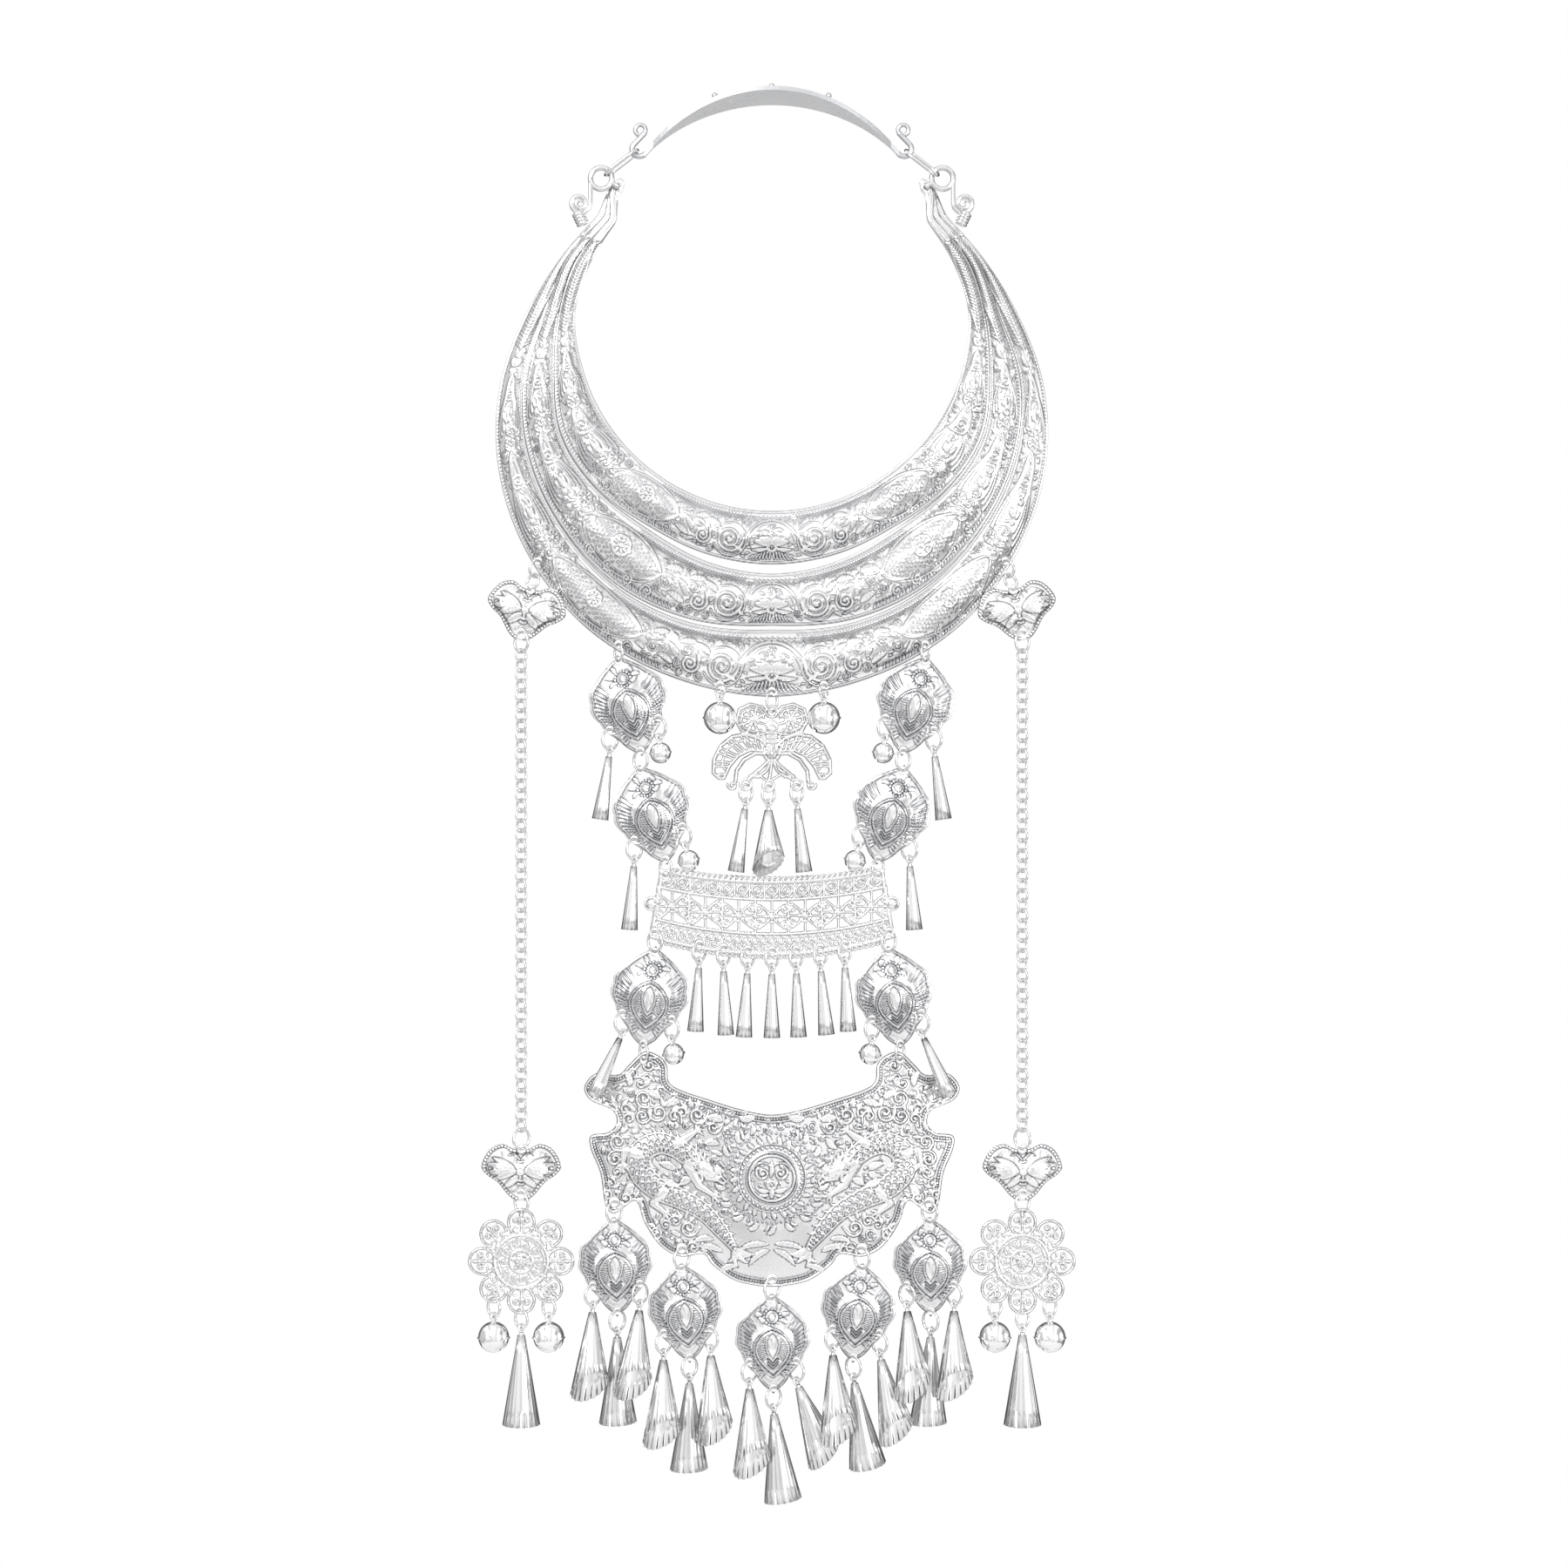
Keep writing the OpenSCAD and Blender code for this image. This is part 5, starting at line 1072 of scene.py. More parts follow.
def plate_relief(h=0.75):
    relief = Relief((-PLATE_W / 2 - 0.6, PLATE_W / 2 + 0.6, -PLATE_H * 1.01 - 0.6, 1.2))
    outline = plate_outline()
    whole = Pen(relief)
    for d, w, up in ((0.55, 0.42, 0.5), (2.5, 0.26, 0.32)):
        whole.line(closed(inwards(outline, d)), w, up)
    whole.beads(evenly(inwards(outline, 1.55), 0.95), 0.36, 0.42)
    medallion(Pen(relief, lambda p: p * MEDAL + [0, PLATE_MID], MEDAL), h)
    for side in (-1, 1):
        half = Pen(relief, lambda p, s=side: p * [MEDAL * s, MEDAL] + [0, PLATE_MID], MEDAL)
        for draw in (dragon_body, dragon_head, dragon_legs, clouds):
            draw(half, h)
    ground = polygon_field(outline)

    def room(x, z):
        """The lower middle of the plate stays plain."""
        plain = (z < PLATE_MID + 18 - 0.055 * x * x) & (z < PLATE_MID - 16 + 0.012 * x * x)
        return np.where(plain, -1, ground(x, z) - 2.8)
    rng = np.random.default_rng(5)
    fill_bare(relief, room, 0.1, 9000, (3.4, 2.6, 1.9, 1.3, 0.8), rng, h * 0.7)
    return relief.finish(0.45)


def build_breastplate():
    relief = plate_relief()
    holes = [(s * 44.33, -EDGE, HOLE_R) for s in (-1, 1)]
    holes += [(x * PLATE_W / 2, -z * PLATE_H, PLATE_HOLE_R) for x, z in PLATE_LOW]
    field = with_holes(polygon_field(plate_outline()), holes)

    def base(x, z):
        return np.sqrt(PLATE_BALL ** 2 - x ** 2 - (z - PLATE_MID) ** 2) - PLATE_BALL + PLATE_DOME

    def front(x, z):
        return base(x, z) + relief.height(x, z) * np.maximum(clear_of(holes, x, z), 0.1) - lip(field(x, z))

    def back(x, z):
        return base(x, z) - PLATE_T
    points, tris, painted_shade = dressed_mesh(relief, field, front, back, 0.32, 1.4)
    dress("breastplate", "breastplate", points + [0, PLATE_BACK, PLATE_TOP], tris, WORKED, painted_shade)


build_breastplate()


# Pierced work: wires and scrolls joined in one flat sheet

PIERCED_T, WIRE_SINK = 1.0, 0.25


def pierced_mesh(relief, cell, metal, holes, bump, knobs):
    """Pierced sheet with rounded wires: the thicker the metal beside a point, the flatter its face."""
    field = with_holes(metal, holes)

    def front(x, z):
        round_up = bump * (1 - (1 - np.clip(field(x, z) / 0.6, 0, 1)) ** 2)
        return PIERCED_T / 2 - WIRE_SINK + round_up + knobs(x, z) + relief.height(x, z)

    def back(x, z):
        return np.full_like(x, -PIERCED_T / 2)
    return dressed_mesh(relief, field, front, back, cell, 0.9, reach=0.25)


BAR_TOP_X, BAR_LOW_X, BAR_DROP, BAR_Z = 36.704, 40.393, 19.25, -268.129
BAR_TOP_MID, BAR_LOW_MID, BAR_BELLY_R, BAR_ARC_R = -1.285, -27.85, 144.931, 195.0
BAR_RING_X = [-25.145, -16.763, -8.382, 0, 8.382, 16.763, 25.145]
BAR_SIDE_TOP, BAR_SIDE_LOW = BAR_TOP_X + EDGE, BAR_LOW_X + EDGE
BAR_CORNERS = [(s * x, z) for x, z in ((BAR_TOP_X, 0), (BAR_LOW_X, -BAR_DROP)) for s in (-1, 1)]
# Share of the height, inset and width of each line
BAR_LINES = ((0.035, 0.5, 0.85), (0.965, 0.5, 0.85), (0.29, 0, 0.62), (0.74, 0, 0.62))
KNOB_X, KNOB_Z, KNOB_R = (BAR_TOP_X + BAR_LOW_X) / 2 + 3.0, -BAR_DROP / 2, 2.6


def bar_low_edge(x):
    return BAR_LOW_MID + BAR_BELLY_R - np.sqrt(BAR_BELLY_R ** 2 - x * x)


def bar_top_edge(x):
    return BAR_TOP_MID + BAR_ARC_R - np.sqrt(BAR_ARC_R ** 2 - x * x)


def bar_spot(k, share, inset=1.4):
    """Point at a share of the bar's height and at k of its half width, -1 to 1."""
    x = k * (mix(BAR_SIDE_LOW, BAR_SIDE_TOP, share) - inset)
    return np.stack([x, mix(bar_low_edge(x), bar_top_edge(x), share)], -1)


def bar_row(share, inset=0.0):
    return bar_spot(np.linspace(-1, 1, 61), share, inset)


BAR_LOOPS = np.concatenate([bar_spot(np.linspace(-0.93, 0.93, n), share) for n, share in ((38, 1), (40, 0))])


def bar_frame(metal, relief):
    """Beaded lines along the bar, its ends with a knob each, and metal for the rings."""
    for share, inset, w in BAR_LINES:
        metal.stroke(bar_row(share, inset), w)
        for k in np.linspace(-0.98, 0.98, 78):
            relief.stroke([bar_spot(k, share)], 0.42, 0.34, 0.5)
    for s in (-1, 1):
        end = [[s * (BAR_SIDE_LOW - 0.9), -BAR_DROP - EDGE + 0.4], [s * (BAR_SIDE_TOP - 0.9), EDGE - 0.9]]
        metal.stroke(end, 0.9)
        metal.stroke([[s * KNOB_X, KNOB_Z]], KNOB_R)
        relief.stroke(end, 0.35, 0.3)
    for x, z in BAR_CORNERS:
        metal.stroke([[x, z]], EDGE)
    for x in BAR_RING_X:
        metal.stroke([[x, bar_low_edge(x) + EDGE]], EDGE + 0.1)


def bar_scrolls(pen, thin):
    """The wide band: crossed scrolls round flowers, with posts and rings between them."""
    for k in range(7):
        unit = pen.at(*bar_spot((k - 3) / 3.42, 0.515))
        unit.bead(0, 0, 1.25 * thin + 0.1, 0.5)
        unit.ring(2.0, 0.36 * thin, 0.35, n=18)
        for sx in (-1, 1):
            arm = unit.at(0, 0, flip=sx)
            for sz in (-1, 1):
                arm.line([[1.1, sz * 1.1], [2.6, sz * 2.7], [4.4, sz * 3.9]], 0.5 * thin, 0.35)
                arm.spiral(1.5, 1.3, 0.42 * thin, 0.35, 90 * sz, -sz, 0.5, 4.3, sz * 2.5)
            arm.line([[0, 0], [5.8, 0]], 0.42 * thin, 0.3)
        unit.line([[0, -5.4], [0, 5.4]], 0.42 * thin, 0.3)
    for k in range(8):
        x, z = bar_spot((k - 3.5) / 3.42, 0.515)
        unit = pen.at(min(max(x, -39.5), 39.5), z)
        unit.line([[0, -5.4], [0, 5.4]], 0.5 * thin, 0.3)
        unit.bead(0, 0, 0.9 * thin, 0.45)
        for sz in (-1, 1):
            unit.ring(0.95, 0.36 * thin, 0.3, 0, sz * 3.4, 14)


def bar_rings(pen, thin):
    """Rings above the wide band, smaller ones below it, and loops along both edges."""
    for k in range(15):
        unit = pen.at(*bar_spot((k - 7) / 7.4, 0.852))
        unit.ring(1.75, 0.42 * thin, 0.35, n=20)
        unit.spiral(1.0, 1.2, 0.32 * thin, 0.3, 0, 1 if k % 2 else -1, 0.3)
        unit.line([[2.5, -2.4], [2.5, 2.4]], 0.4 * thin, 0.3)
    for k in range(27):
        pen.ring(1.15, 0.38 * thin, 0.3, *bar_spot((k - 13) / 13.5, 0.205), 14)
        x, z = bar_spot((k - 13) / 13.5, 0.105)
        pen.ring(0.95, 0.36 * thin, 0.3, x + 1.4, z, 14)
    for x, z in BAR_LOOPS:
        pen.ring(0.75, 0.36 * thin, 0.3, x, z, 12)


def build_bar():
    box = (-46, 46, -29, 3.5)
    metal, relief = Filigree(box), Relief(box, 0.1, 0.2, 0.35)
    bar_frame(metal, relief)
    for pen, thin in ((Pen(metal), 1.0), (Pen(relief), 0.6)):
        bar_scrolls(pen, thin)
        bar_rings(pen, thin)
    relief.finish(0.35)
    end = np.array([[BAR_SIDE_LOW, -BAR_DROP - EDGE], [BAR_SIDE_TOP, EDGE]])
    outline = polygon_field(np.concatenate([bar_row(0), end, bar_row(1)[::-1], end[::-1] * [-1, 1]]))

    def inside(x, z):
        """The metal within the outline, the knobs and the loops."""
        beside = KNOB_R - np.hypot(np.abs(x) - KNOB_X, z - KNOB_Z)
        for cx, cz in BAR_LOOPS:
            beside = np.maximum(beside, 1.15 - np.hypot(x - cx, z - cz))
        return np.minimum(metal.field(x, z), np.maximum(outline(x, z), beside))

    def knobs(x, z):
        return ball_cap(np.abs(x), z, KNOB_X, KNOB_Z, 1.9)
    holes = [(x, z, HOLE_R) for x, z in BAR_CORNERS]
    holes += [(x, float(bar_low_edge(x)) + EDGE, HOLE_R) for x in BAR_RING_X]
    points, tris, painted_shade = pierced_mesh(relief, 0.25, inside, holes, 0.35, knobs)
    dress("pierced_bar", "drop", points + [0, HANG_Y, BAR_Z], tris, WORKED, painted_shade)


build_bar()

# Lines of the right wings: x, z
WING_TOP = [[1.2, -1.5], [3.4, 1.6], [7.4, 2.6], [11.2, 0.8], [12.3, -3.2], [10.4, -6.6], [6.6, -8.2],
            [2.6, -7.6]]
WING_LOW = [[1.6, -12.2], [4.2, -9.4], [8.8, -7.8], [13.6, -8.6], [17.6, -11.8], [20.0, -16.6],
            [20.2, -21.2], [18.2, -23.0]]
WING_INNER = [[3.0, -13.6], [7.6, -13.2], [11.6, -15.2], [14.6, -18.8], [16.6, -23.0], [18.2, -23.0]]
WING_STEM = [[1.4, -14.6], [5.6, -14.4], [9.6, -16.6], [12.2, -20.4], [12.6, -24.2]]
# Lower holes: x, z
BUTTERFLY_LOW = [[-9, -25.2], [-1.2, -25.6], [8.6, -25.2]]


def spread(pts, count=11):
    """A few of the points, evenly chosen."""
    return pts[np.linspace(0, len(pts) - 1, count).astype(int)]


def wing(pen, thin):
    """One side of the butterfly: a round upper wing with rays, and a curved lower one with ribs."""
    pen.line(WING_TOP, 0.62 * thin, 0.45)
    pen.line(np.array(WING_TOP) * 0.72 + [1.9, -0.9], 0.5 * thin, 0.35)
    pen.flower(2.1, 6, 0.4, 6.4, -2.9)
    pen.bead(6.4, -2.9, 1.0 * thin, 0.5)
    for a in range(20, 380, 45):
        u = toward(a)
        pen.line([[6.4, -2.9] + 0.9 * u, [6.7, -2.9] + 3.2 * u], 0.5 * thin, 0.3)
        pen.line([[6.7, -2.9] + u * [3.5, 3.0], [6.9, -2.8] + u * [4.9, 4.6]], 0.42 * thin, 0.3)
    pen.line(WING_LOW, 0.7 * thin, 0.45)
    pen.line(WING_INNER, 0.62 * thin, 0.4)
    for root, rim in zip(spread(evenly(WING_INNER[:-1], 1.55)), spread(evenly(WING_LOW[1:], 1.75))):
        pen.line([root, mix(root, rim, 0.5) + [0.3, 0.3], rim], 0.5 * thin, 0.35)
    pen.line(mix(evenly(WING_LOW[1:], 2.6), [9.8, -15.0], 0.3), 0.42 * thin, 0.3)
    pen.line(WING_STEM, 0.72 * thin, 0.45)
    pen.spiral(1.7, 1.2, 0.5 * thin, 0.4, 0, -1, 0.6, 13.6, -25.4)
    pen.line([[0.6, -16.6], [3.6, -19.4], [6.8, -22.0], [9.0, -24.4]], 0.68 * thin, 0.4)
    pen.line([[0.4, -17.0], [1.8, -20.4], [4.6, -22.6], [7.6, -22.2]], 0.55 * thin, 0.35)
    pen.line([[3.0, -7.9], [2.2, -10.4], [3.4, -12.6]], 0.6 * thin, 0.35)


def butterfly_body(metal, relief):
    metal.stroke([[0, -5], [0, -15.5]], [2.1, 1.7])
    metal.stroke([[0, -14.4]], 3.2)
    pen = Pen(relief)
    pen.flower(2.9, 8, 0.5, 0, -14.4)
    for z in (-7.6, -9.2, -10.8):
        pen.line([[-2.1, z + 0.4], [0, z], [2.1, z + 0.4]], 0.35, 0.4)


def build_butterfly():
    box = (-21, 21, -31, 3.5)
    metal, relief = Filigree(box), Relief(box, 0.09, 0.2, 0.4)
    spots = [[0, 0]] + BUTTERFLY_LOW
    for spot in spots:
        metal.stroke([spot], EDGE + 0.15)
    butterfly_body(metal, relief)
    for pen, thin in ((Pen(metal), 1.0), (Pen(relief), 0.6)):
        for s in (-1, 1):
            wing(pen.at(0, 0, flip=s), thin)
        pen.line([[0, -16.5], [-0.4, -20.5], [-1.2, -24.6]], 0.6 * thin, 0.4)
        pen.line([[-9, -24.4], [-5.2, -21.5], [-1.2, -24.2], [3.6, -21.5], [8.6, -24.4]], 0.5 * thin, 0.3)
    relief.finish(0.35)

    def knobs(x, z):
        return np.maximum(ball_cap(x, z, 0, -14.4, 2.2, 0.3), ball_cap(x, z, 0, -6, 1.6, 0.3))
    holes = [(x, z, HOLE_R) for x, z in spots]
    points, tris, painted_shade = pierced_mesh(relief, 0.24, metal.field, holes, 0.35, knobs)
    dress("butterfly_pendant", "pendant", points + [0, HANG_Y, BUTTERFLY_Z], tris, WORKED, painted_shade)


build_butterfly()


ROSETTE_R, PETALS = 18.4, 8
PETAL_R, DISC_R, BEAD_ROW_R = 0.27 * ROSETTE_R, 0.5 * ROSETTE_R, 0.585 * ROSETTE_R
PETAL_AT = ROSETTE_R - PETAL_R


def petal(pen, thin):
    """Round petal of wire to the right of the middle, with scrolls in it."""
    pen.ring(PETAL_R - 0.5, 0.5 * thin, 0.45, PETAL_AT, 0, 32)
    for s in (-1, 1):
        pen.spiral(1.35, 1.2, 0.4 * thin, 0.35, 180 + 60 * s, s, 0.6, PETAL_AT + 0.5, s * 1.95)
        pen.ring(1.0, 0.36 * thin, 0.3, PETAL_AT - 2.6, s * 2.3, 14)
    pen.line([[PETAL_AT - PETAL_R * 1.1, 0], [ROSETTE_R - 0.6, 0]], 0.42 * thin, 0.3)
    pen.bead(PETAL_AT + 2.4, 0, 0.85 * thin, 0.4)
    pen.ring(PETAL_R * 0.9, 0.4 * thin, 0.3, PETAL_AT * 0.93, 0, 14, 128, 232)


def rosette_disc(pen):
    """Middle disc: rings, curls and leaves round a boss."""
    for r, w, h, n in ((1, 0.55, 0.55, 60), (0.86, 0.25, 0.3, 50), (0.42, 0.45, 0.5, 36)):
        pen.ring(r * DISC_R, w, h, n=n)
    for k in range(10):
        pen.at(0, 0, k * 36).spiral(1.25, 1.5, 0.3, 0.4, 0, 1, 0.7, DISC_R * 0.65, 0)
        pen.at(0, 0, k * 36 + 18).leaf([DISC_R * 0.5, 0], [DISC_R * 0.8, 0.4], 0.42, 0.35)
    for k in range(8):
        pen.at(0, 0, k * 45).line([[1.4, 0], [2.3, 0.8], [3.3, 0.9]], [0.5, 0.4, 0.2], 0.45)
    pen.ring(BEAD_ROW_R + 1.35, 0.3, 0.35, n=60)


def build_rosettes():
    reach = ROSETTE_R + 0.6
    box = (-reach, reach, -reach, reach)
    metal, relief = Filigree(box), Relief(box, 0.09, 0.2, 0.4)
    metal.stroke([[0, 0]], PETAL_AT - PETAL_R * 0.62)
    for pen, thin in ((Pen(metal), 1.0), (Pen(relief), 0.55)):
        for k in range(PETALS):
            petal(pen.at(0, 0, 90 + k * 360 / PETALS), thin)
    rosette_disc(Pen(relief))
    relief.finish(0.4)

    def boss(x, z):
        return ball_cap(x, z, 0, 0, 2.2, 0.3)
    holes = [(*BEAD_ROW_R * toward(18 * k + 9), 0.75) for k in range(20)]
    mesh = pierced_mesh(relief, 0.27, metal.field, holes, 0.3, boss)
    dress_pair("rosette_SIDE", "collar", mesh, (SIDE_X, SIDE_Y, ROSETTE_Z))


build_rosettes()

# Right half from the top middle: x in half widths, depth in heights
CHARM_HALF = [[0, 0.13], [0.22, 0.10], [0.50, 0.02], [0.80, 0.12], [1.00, 0.40], [0.88, 0.56], [0.60, 0.70],
              [0.34, 0.92], [0.16, 1.02], [0, 1.04]]


def charm_outline(inset):
    rows = through(CHARM_HALF, np.linspace(0, 9, 82))
    drop = mix(inset, CHARM_H + 2 * EDGE - inset, rows[:, 1])
    return halves(np.stack([rows[:, 0] * (CHARM_W / 2 - inset), EDGE - drop], 1))


def charm_relief(h=0.45):
    """Feathered wings, a body, and beads round the rim."""
    relief = Relief((-14.5, 14.5, -18, 3), 0.09)
    pen = Pen(relief)
    for s in (-1, 1):
        side = pen.at(0, 0, flip=s)
        for a, reach in ((28, 11.2), (12, 12.6), (-4, 12.4), (-22, 10.4)):
            side.leaf([1.4, -7.2], [1.4, -7.2] + reach * 0.86 * toward(a), 1.25, h, 0.4, 6)
        side.leaf([0.9, -8.6], [6.4, -13.2], 1.2, h, -0.4, 5)
        side.ring(1.3, 0.3, h, 10.4, -6.6)
        side.line([[0.4, -3.2], [2.2, -1.4], [4.2, -1.9]], [0.35, 0.3, 0.15], h)
        rim = evenly(charm_outline(0.75), 1.15)
        side.beads(rim[rim[:, 0] > 0.8], 0.5, 0.35)
    for z in (-4.2, -10.6, -12.0):
        pen.line([[-1.0, z + 0.3], [0, z], [1.0, z + 0.3]], 0.4, h)
    return relief.finish(0.4)


def build_charms():
    relief = charm_relief()
    flat = polygon_field(charm_outline(0))
    inner = polygon_field(charm_outline(1.4))
    holes = [(0, 0, CHARM_HOLE_R), (0, -CHARM_H, CHARM_HOLE_R)]

    def metal(x, z):
        ends = np.maximum(EDGE - np.hypot(x, z), EDGE - np.hypot(x, z + CHARM_H))
        return np.maximum(flat(x, z), ends)
    field = with_holes(metal, holes)

    def swell(x, z):
        """Two bellies side by side."""
        return dome(np.abs(x) - 4.4, z + CHARM_H / 2, 7.95, 4.5) * smooth((inner(x, z) + 0.3) / 1.2)

    def front(x, z):
        work = relief.height(x, z) * clear_of(holes, x, z) + ball_cap(x, z, 0, -CHARM_H / 2, 1.5, 0.1)
        return SHEET / 2 + swell(x, z) + work - lip(field(x, z))

    def back(x, z):
        return -SHEET / 2 + swell(x, z)
    mesh = dressed_mesh(relief, field, front, back, 0.29, 1.2, edge=0)
    dress_pair("upper_charm_SIDE", "collar", mesh, UPPER_CHARM, UPPER_CHARM_LEAN)
    dress_pair("lower_charm_SIDE", "collar", mesh, (SIDE_X, SIDE_Y, LOWER_CHARM_Z))


build_charms()

# Hanging cones: a pleated open shell, its mouth cut square or at a slant, with an eye on top

CONE_EYE, EYE_R, EYE_WIRE, STEM_R = 2.35, 1.25, 0.4, 0.7
# Length, radius at the top, radius at the mouth, pleats
CONE_SIZES = {"narrow": (22, 1.1, 2.9, 12), "middle": (23.25, 1.3, 5.676, 18), "wide": (31, 1.3, 6.6, 18)}


def circle(n):
    a = 2 * np.pi * np.arange(n) / n
    return np.cos(a), np.sin(a)


def bridge(a, b, n):
    """Triangles between two closed rings of n points, whose first points are a and b."""
    k = np.arange(n)
    ahead = (k + 1) % n
    corners = ((a + k, b + k, b + ahead), (a + k, b + ahead, a + ahead))
    return np.concatenate([np.stack(corner, 1) for corner in corners])


def joined(parts):
    """One mesh of several, each (points, triangles, painted shade values)."""
    tris, at = [], 0
    for points, faces, _ in parts:
        tris.append(faces + at)
        at += len(points)
    return np.concatenate([p[0] for p in parts]), np.concatenate(tris), np.concatenate([p[2] for p in parts])


def cone_shell(length, top_r, mouth_r, pleats, slant):
    """Outer and inner wall, joined at the mouth and at the top."""
    n, rows = pleats * 3, 6
    cos, sin = circle(n)
    pleat = 0.5 + 0.5 * np.cos(2 * np.pi * np.arange(n) / n * pleats + 0.4)
    points, tris, painted_shade = [], [], []
    # Each wall has a pleat depth and the darkness of painted shade in its folds.
    for k, (r0, r1, depth, dark) in enumerate(((top_r, mouth_r, 0.09, 0.42),
                                               (0.3 * top_r, mouth_r - 0.4, 0.02, 0.12))):
        for t in np.linspace(0, 1, rows):
            r = mix(r0, r1, t) * (1 - depth * (1 - pleat) * min(1, 0.35 + t))
            cut = length - (0.5 * r * cos - 0.87 * r * sin + mouth_r) * math.tan(math.radians(slant))
            points.append(np.stack([r * cos, r * sin, -CONE_EYE - t * cut], 1))
            # Painted shade in the pleats' folds and on the top and mouth rows.
            painted_shade.append(dark * (1 - pleat) ** 2 + (0.25 if t in (0, 1) else 0))
        wall = np.concatenate([bridge(a, a + n, n) for a in n * (k * rows + np.arange(rows - 1))])
        tris.append(wall[:, ::-1] if k else wall)
    inner, mouth = rows * n, (rows - 1) * n
    tris += [bridge(mouth, inner + mouth, n), bridge(0, inner, n)[:, ::-1]]
    return np.concatenate(points), np.concatenate(tris), np.concatenate(painted_shade)


def cone_eye(turn, n=16, m=6):
    """Wire ring standing round the origin, turned about the upright axis."""
    (ring_x, ring_z), (tube_x, tube_y) = circle(n), circle(m)
    r = EYE_R + EYE_WIRE * tube_x[None]
    x, z = r * ring_x[:, None], r * ring_z[:, None]
    y = np.broadcast_to(EYE_WIRE * tube_y, x.shape)
    c, s = toward(turn)
    points = np.stack([(x * c - y * s).ravel(), (x * s + y * c).ravel(), z.ravel()], 1)
    return points, np.concatenate([bridge(m * i, m * ((i + 1) % n), m) for i in range(n)]), np.zeros(n * m)


def cone_stem(n=8):
    cos, sin = circle(n)
    rows = [np.stack([STEM_R * cos, STEM_R * sin, np.full(n, z)], 1) for z in (-1.5, -CONE_EYE - 0.2)]
    return np.concatenate(rows), bridge(0, n, n), np.zeros(2 * n)


def cone(kind, place, lean=0.0, tip=0.0, turn=135, slant=0.0, side=1):
    """One cone at its place, hung by its eye; a slanted mouth opens towards the front."""
    points, tris, painted_shade = joined([cone_shell(*CONE_SIZES[kind], slant), cone_eye(turn), cone_stem()])
    return in_frame(points, place, lean, tip, side), mirrored(tris, side), painted_shade


def dress_cones(node, body, parts):
    points, tris, painted_shade = joined(parts)
    dress(node, body, points, tris, CONE, painted_shade)


# Kind, lean, slant of the mouth
PENDANT_CONES = (("narrow", 8, 0), ("middle", 0, 40), ("narrow", -6, 0))
BAR_LEANS = (3, -2, 3, 0, -2, -5, -3)
# Hole and angles: x, z, lean, tip
PLAQUE_CONES = ((55.983, -217.531, -8, 0), (47.557, -255.486, -4, 0), (51.663, -315.405, -24, 22))
# Three cones to a plaque: hole (x, y, z), lean, tip, turn of the eye, slant of the mouth
FRINGE_HOLES = [[(-61.843, 3.474, -409.456), (-53.402, 3.474, -418.347), (-45.602, 3.474, -408.889)],
                [(-37.297, 1.011, -425.453), (-28.403, 1.011, -433.89), (-21.109, 1.011, -424.037)],
                [(-7.75, 0.432, -435.339), (0.534, 0.432, -444.376), (8.498, 0.432, -435.056)],
                [(20.929, 1.011, -423.949), (28.137, 1.011, -433.866), (37.105, 1.011, -425.507)],
                [(46.645, 3.474, -409.297), (54.897, 3.474, -418.363), (62.893, 3.474, -409.07)]]
FRINGE_LEANS = [[2, 0, 4.8], [1.1, 0.5, -2.8], [-1.9, -5.8, -20], [-3.8, -9, -12], [-3.6, 1.5, 0.1]]
FRINGE_TIPS = [[8, -7.5, 13.7], [8.9, -6.8, 8.9], [9.1, -5.1, -4.5], [15.8, -11, 1.5], [17.8, -6, 10.9]]
FRINGE_TURNS = [[135, 135, 135], [135, 135, 45], [135, 135, 45], [135, 45, 45], [45, 45, 45]]
FRINGE_SLANTS = [40, 6, 40]

dress_cones("pendant_cones", "pendant", [
    cone(kind, (x, HANG_Y, BUTTERFLY_Z + z - SHORT_LINK), lean, slant=slant)
    for (x, z), (kind, lean, slant) in zip(BUTTERFLY_LOW, PENDANT_CONES)])
dress_cones("bar_cones", "drop", [
    cone("narrow", (x, HANG_Y, BAR_Z + bar_low_edge(x) + EDGE - SHORT_LINK), lean)
    for x, lean in zip(BAR_RING_X, BAR_LEANS)])
dress_cones("plaque_cones", "drop", [
    cone("narrow", (x, HANG_Y, z - LONG_LINK), lean, tip, 45, side=side) for side, _ in SIDES
    for x, z, lean, tip in PLAQUE_CONES])
for k, rows in enumerate(zip(FRINGE_HOLES, FRINGE_LEANS, FRINGE_TIPS, FRINGE_TURNS)):
    dress_cones(f"fringe_cones_{k + 1}", "breastplate", [
        cone("wide", (x, y, z - LONG_LINK), lean, tip, turn, slant)
        for (x, y, z), lean, tip, turn, slant in zip(*rows, FRINGE_SLANTS)])
for side, word in SIDES:
    dress_cones(f"rosette_cone_{word}", "collar", [
        cone("wide", (SIDE_X, SIDE_Y, ROSETTE_CONE_Z), side=side)])

# Pieces that keep the CAD form: rings, bells, chains, band and hooks

for node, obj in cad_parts.items():
    if obj.hide_render:
        continue
    new = BAND if node == "back_band" else BRIGHT if "bell" in node else WIRE
    if not obj.data.materials:
        obj.data.materials.append(new)
    for slot in obj.material_slots:
        slot.material = new


# Studio: white behind, pale with darker panels in front, soft lights, a pale floor below

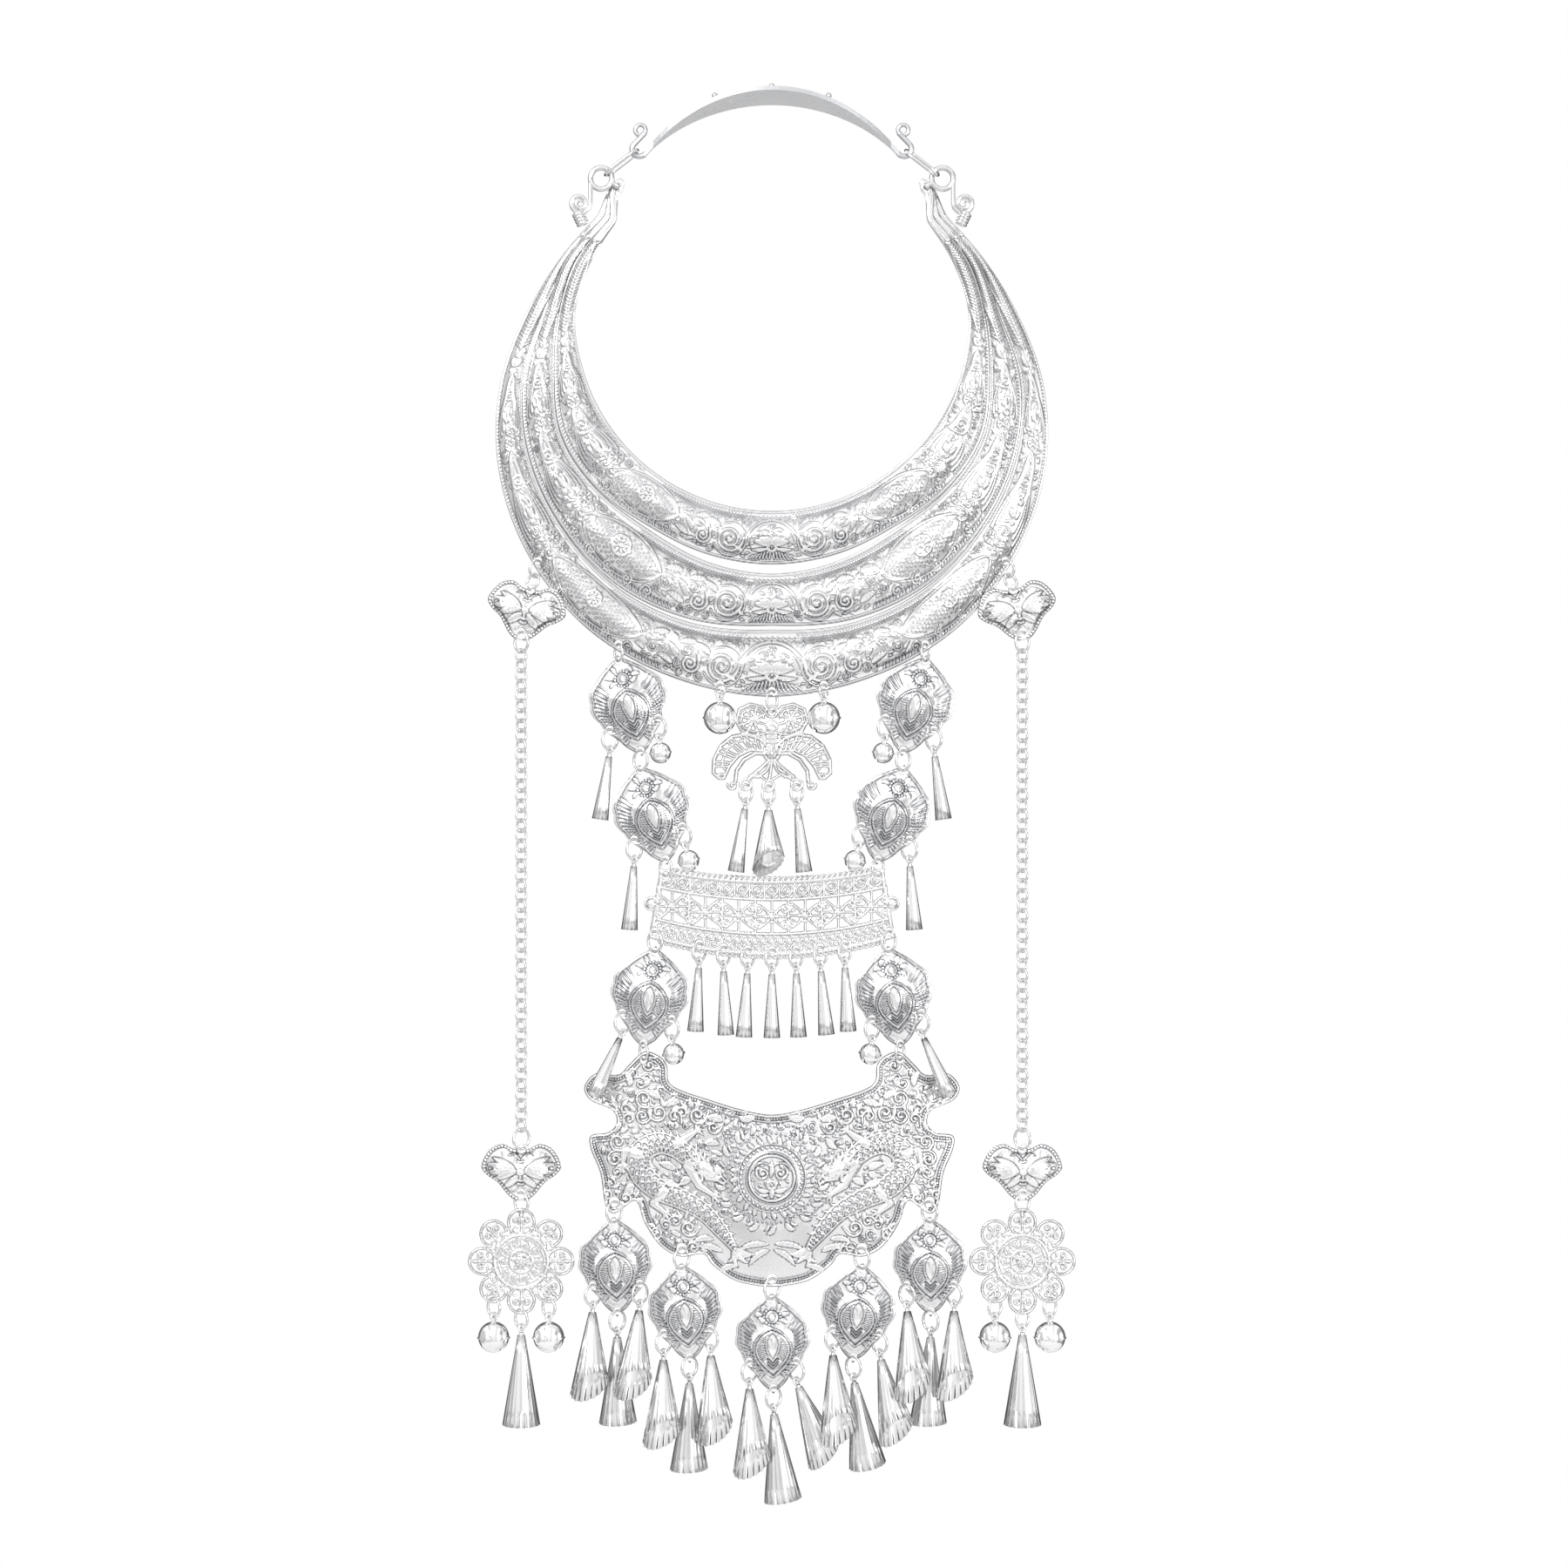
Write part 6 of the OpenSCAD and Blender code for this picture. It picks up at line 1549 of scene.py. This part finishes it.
# Brightness along a direction, as (value, level)
FRONT_LEVELS = [(-1.0, 0.55), (-0.8, 0.66), (-0.5, 0.84), (-0.2, 1.0), (0.05, 1.08), (0.3, 1.12),
                (1.0, 1.12)]
PANEL_LEVELS = [(0.0, 0.5), (0.32, 0.6), (0.36, 1.0), (1.0, 1.0)]
STRIP_LEVELS = [(-1.0, 0.6), (-0.86, 0.6), (-0.82, 1.0), (-0.5, 1.0), (-0.46, 0.55), (-0.40, 0.55),
                (-0.36, 1.0), (0.30, 1.0), (0.33, 0.6), (0.37, 0.6), (0.41, 1.0), (0.70, 1.0), (0.75, 0.45),
                (0.9, 0.45), (0.95, 1.0)]
RIM_LEVELS = [(-1.0, 0.93), (-0.9, 1.0), (0.35, 1.0), (0.5, 0.3), (0.75, 0.14), (0.925, 0.14), (0.945, 1.0)]
BEHIND = [(0.93, 0.0), (0.944, 1.0)]
# Name, place, aim, size, power
LAMPS = (("key", (-0.7, -1.2, 0.5), (0, 0, -0.2), 0.8, 9), ("fill", (0.9, -1.0, -0.3), (0, 0, -0.3), 0.7, 4))
FLOOR_Z, FLOOR_X_R, FLOOR_Y_R, FLOOR_POINTS = -0.62, 0.42, 0.36, 48
CAMERA_AWAY, CAMERA_X, CAMERA_Z, VIEW_WIDTH = 1.1, 0.0042, -0.2364, 0.54


def ramp(tree, source, stops, low):
    """Grey levels along a value between low and 1, given as (value, level)."""
    share = add_node(tree, "MapRange", "Result", {"Value": source, "From Min": low, "From Max": 1.0})
    made = tree.nodes.new("ShaderNodeValToRGB")
    tree.links.new(share, made.inputs["Fac"])
    dots = made.color_ramp.elements
    for k, (value, level) in enumerate(stops):
        pos = (value - low) / (1 - low)
        dot = dots[k] if k < 2 else dots.new(pos)
        dot.position, dot.color = pos, (level, level, level * 1.004, 1)
    return made.outputs["Color"]


def surroundings():
    world = bpy.data.worlds.new("studio")
    bpy.context.scene.world = world
    world.use_nodes = True
    tree = world.node_tree
    tree.nodes.clear()
    way = add_node(tree, "TexCoord", "Generated", {})
    x, y, z = (add_node(tree, "SeparateXYZ", axis, {0: way}) for axis in "XYZ")
    patch = add_node(tree, "TexNoise", "Fac", {"Vector": way, "Scale": 2.3, "Detail": 2.0})
    ahead = ramp(tree, z, FRONT_LEVELS, -1.0)
    for source, levels, low in ((patch, PANEL_LEVELS, 0.0), (x, STRIP_LEVELS, -1.0), (y, RIM_LEVELS, -1.0)):
        ahead = blend(tree, "MULTIPLY", 1.0, ahead, ramp(tree, source, levels, low))
    colour = blend(tree, "MIX", ramp(tree, y, BEHIND, -1.0), ahead, (1, 1, 1, 1))
    light = add_node(tree, "Background", "Background", {"Color": colour, "Strength": 1.0})
    tree.links.new(light, tree.nodes.new("ShaderNodeOutputWorld").inputs["Surface"])


def lamps():
    for name, place_at, aim, size, power in LAMPS:
        lamp = bpy.data.lights.new(name, "AREA")
        lamp.size, lamp.energy = size, power
        obj = add_object(name, lamp)
        obj.location = place_at
        away = mathutils.Vector(aim) - mathutils.Vector(place_at)
        obj.rotation_euler = away.to_track_quat("-Z", "Y").to_euler()


def floor():
    cos, sin = circle(FLOOR_POINTS)
    ring = [(FLOOR_X_R * c, FLOOR_Y_R * s, FLOOR_Z) for c, s in zip(cos, sin)]
    mesh = bpy.data.meshes.new("floor")
    mesh.from_pydata(ring, [], [list(range(FLOOR_POINTS))])
    mat = bpy.data.materials.new("floor")
    mat.use_nodes = True
    bsdf = next(n for n in mat.node_tree.nodes if n.type == "BSDF_PRINCIPLED")
    bsdf.inputs["Base Color"].default_value = (0.93, 0.93, 0.93, 1)
    bsdf.inputs["Roughness"].default_value = 0.8
    mesh.materials.append(mat)
    add_object("floor", mesh)


def camera():
    """Straight on, far enough for little perspective."""
    cam = bpy.data.cameras.new("camera")
    cam.sensor_width = 36
    cam.lens = 36 * CAMERA_AWAY / VIEW_WIDTH
    cam.clip_start, cam.clip_end = 0.02, 20
    obj = add_object("camera", cam)
    obj.location = (CAMERA_X, -CAMERA_AWAY, CAMERA_Z)
    obj.rotation_euler = (math.pi / 2, 0, 0)
    bpy.context.scene.camera = obj


surroundings()
lamps()
floor()
camera()
bpy.context.scene.view_settings.view_transform = "Standard"
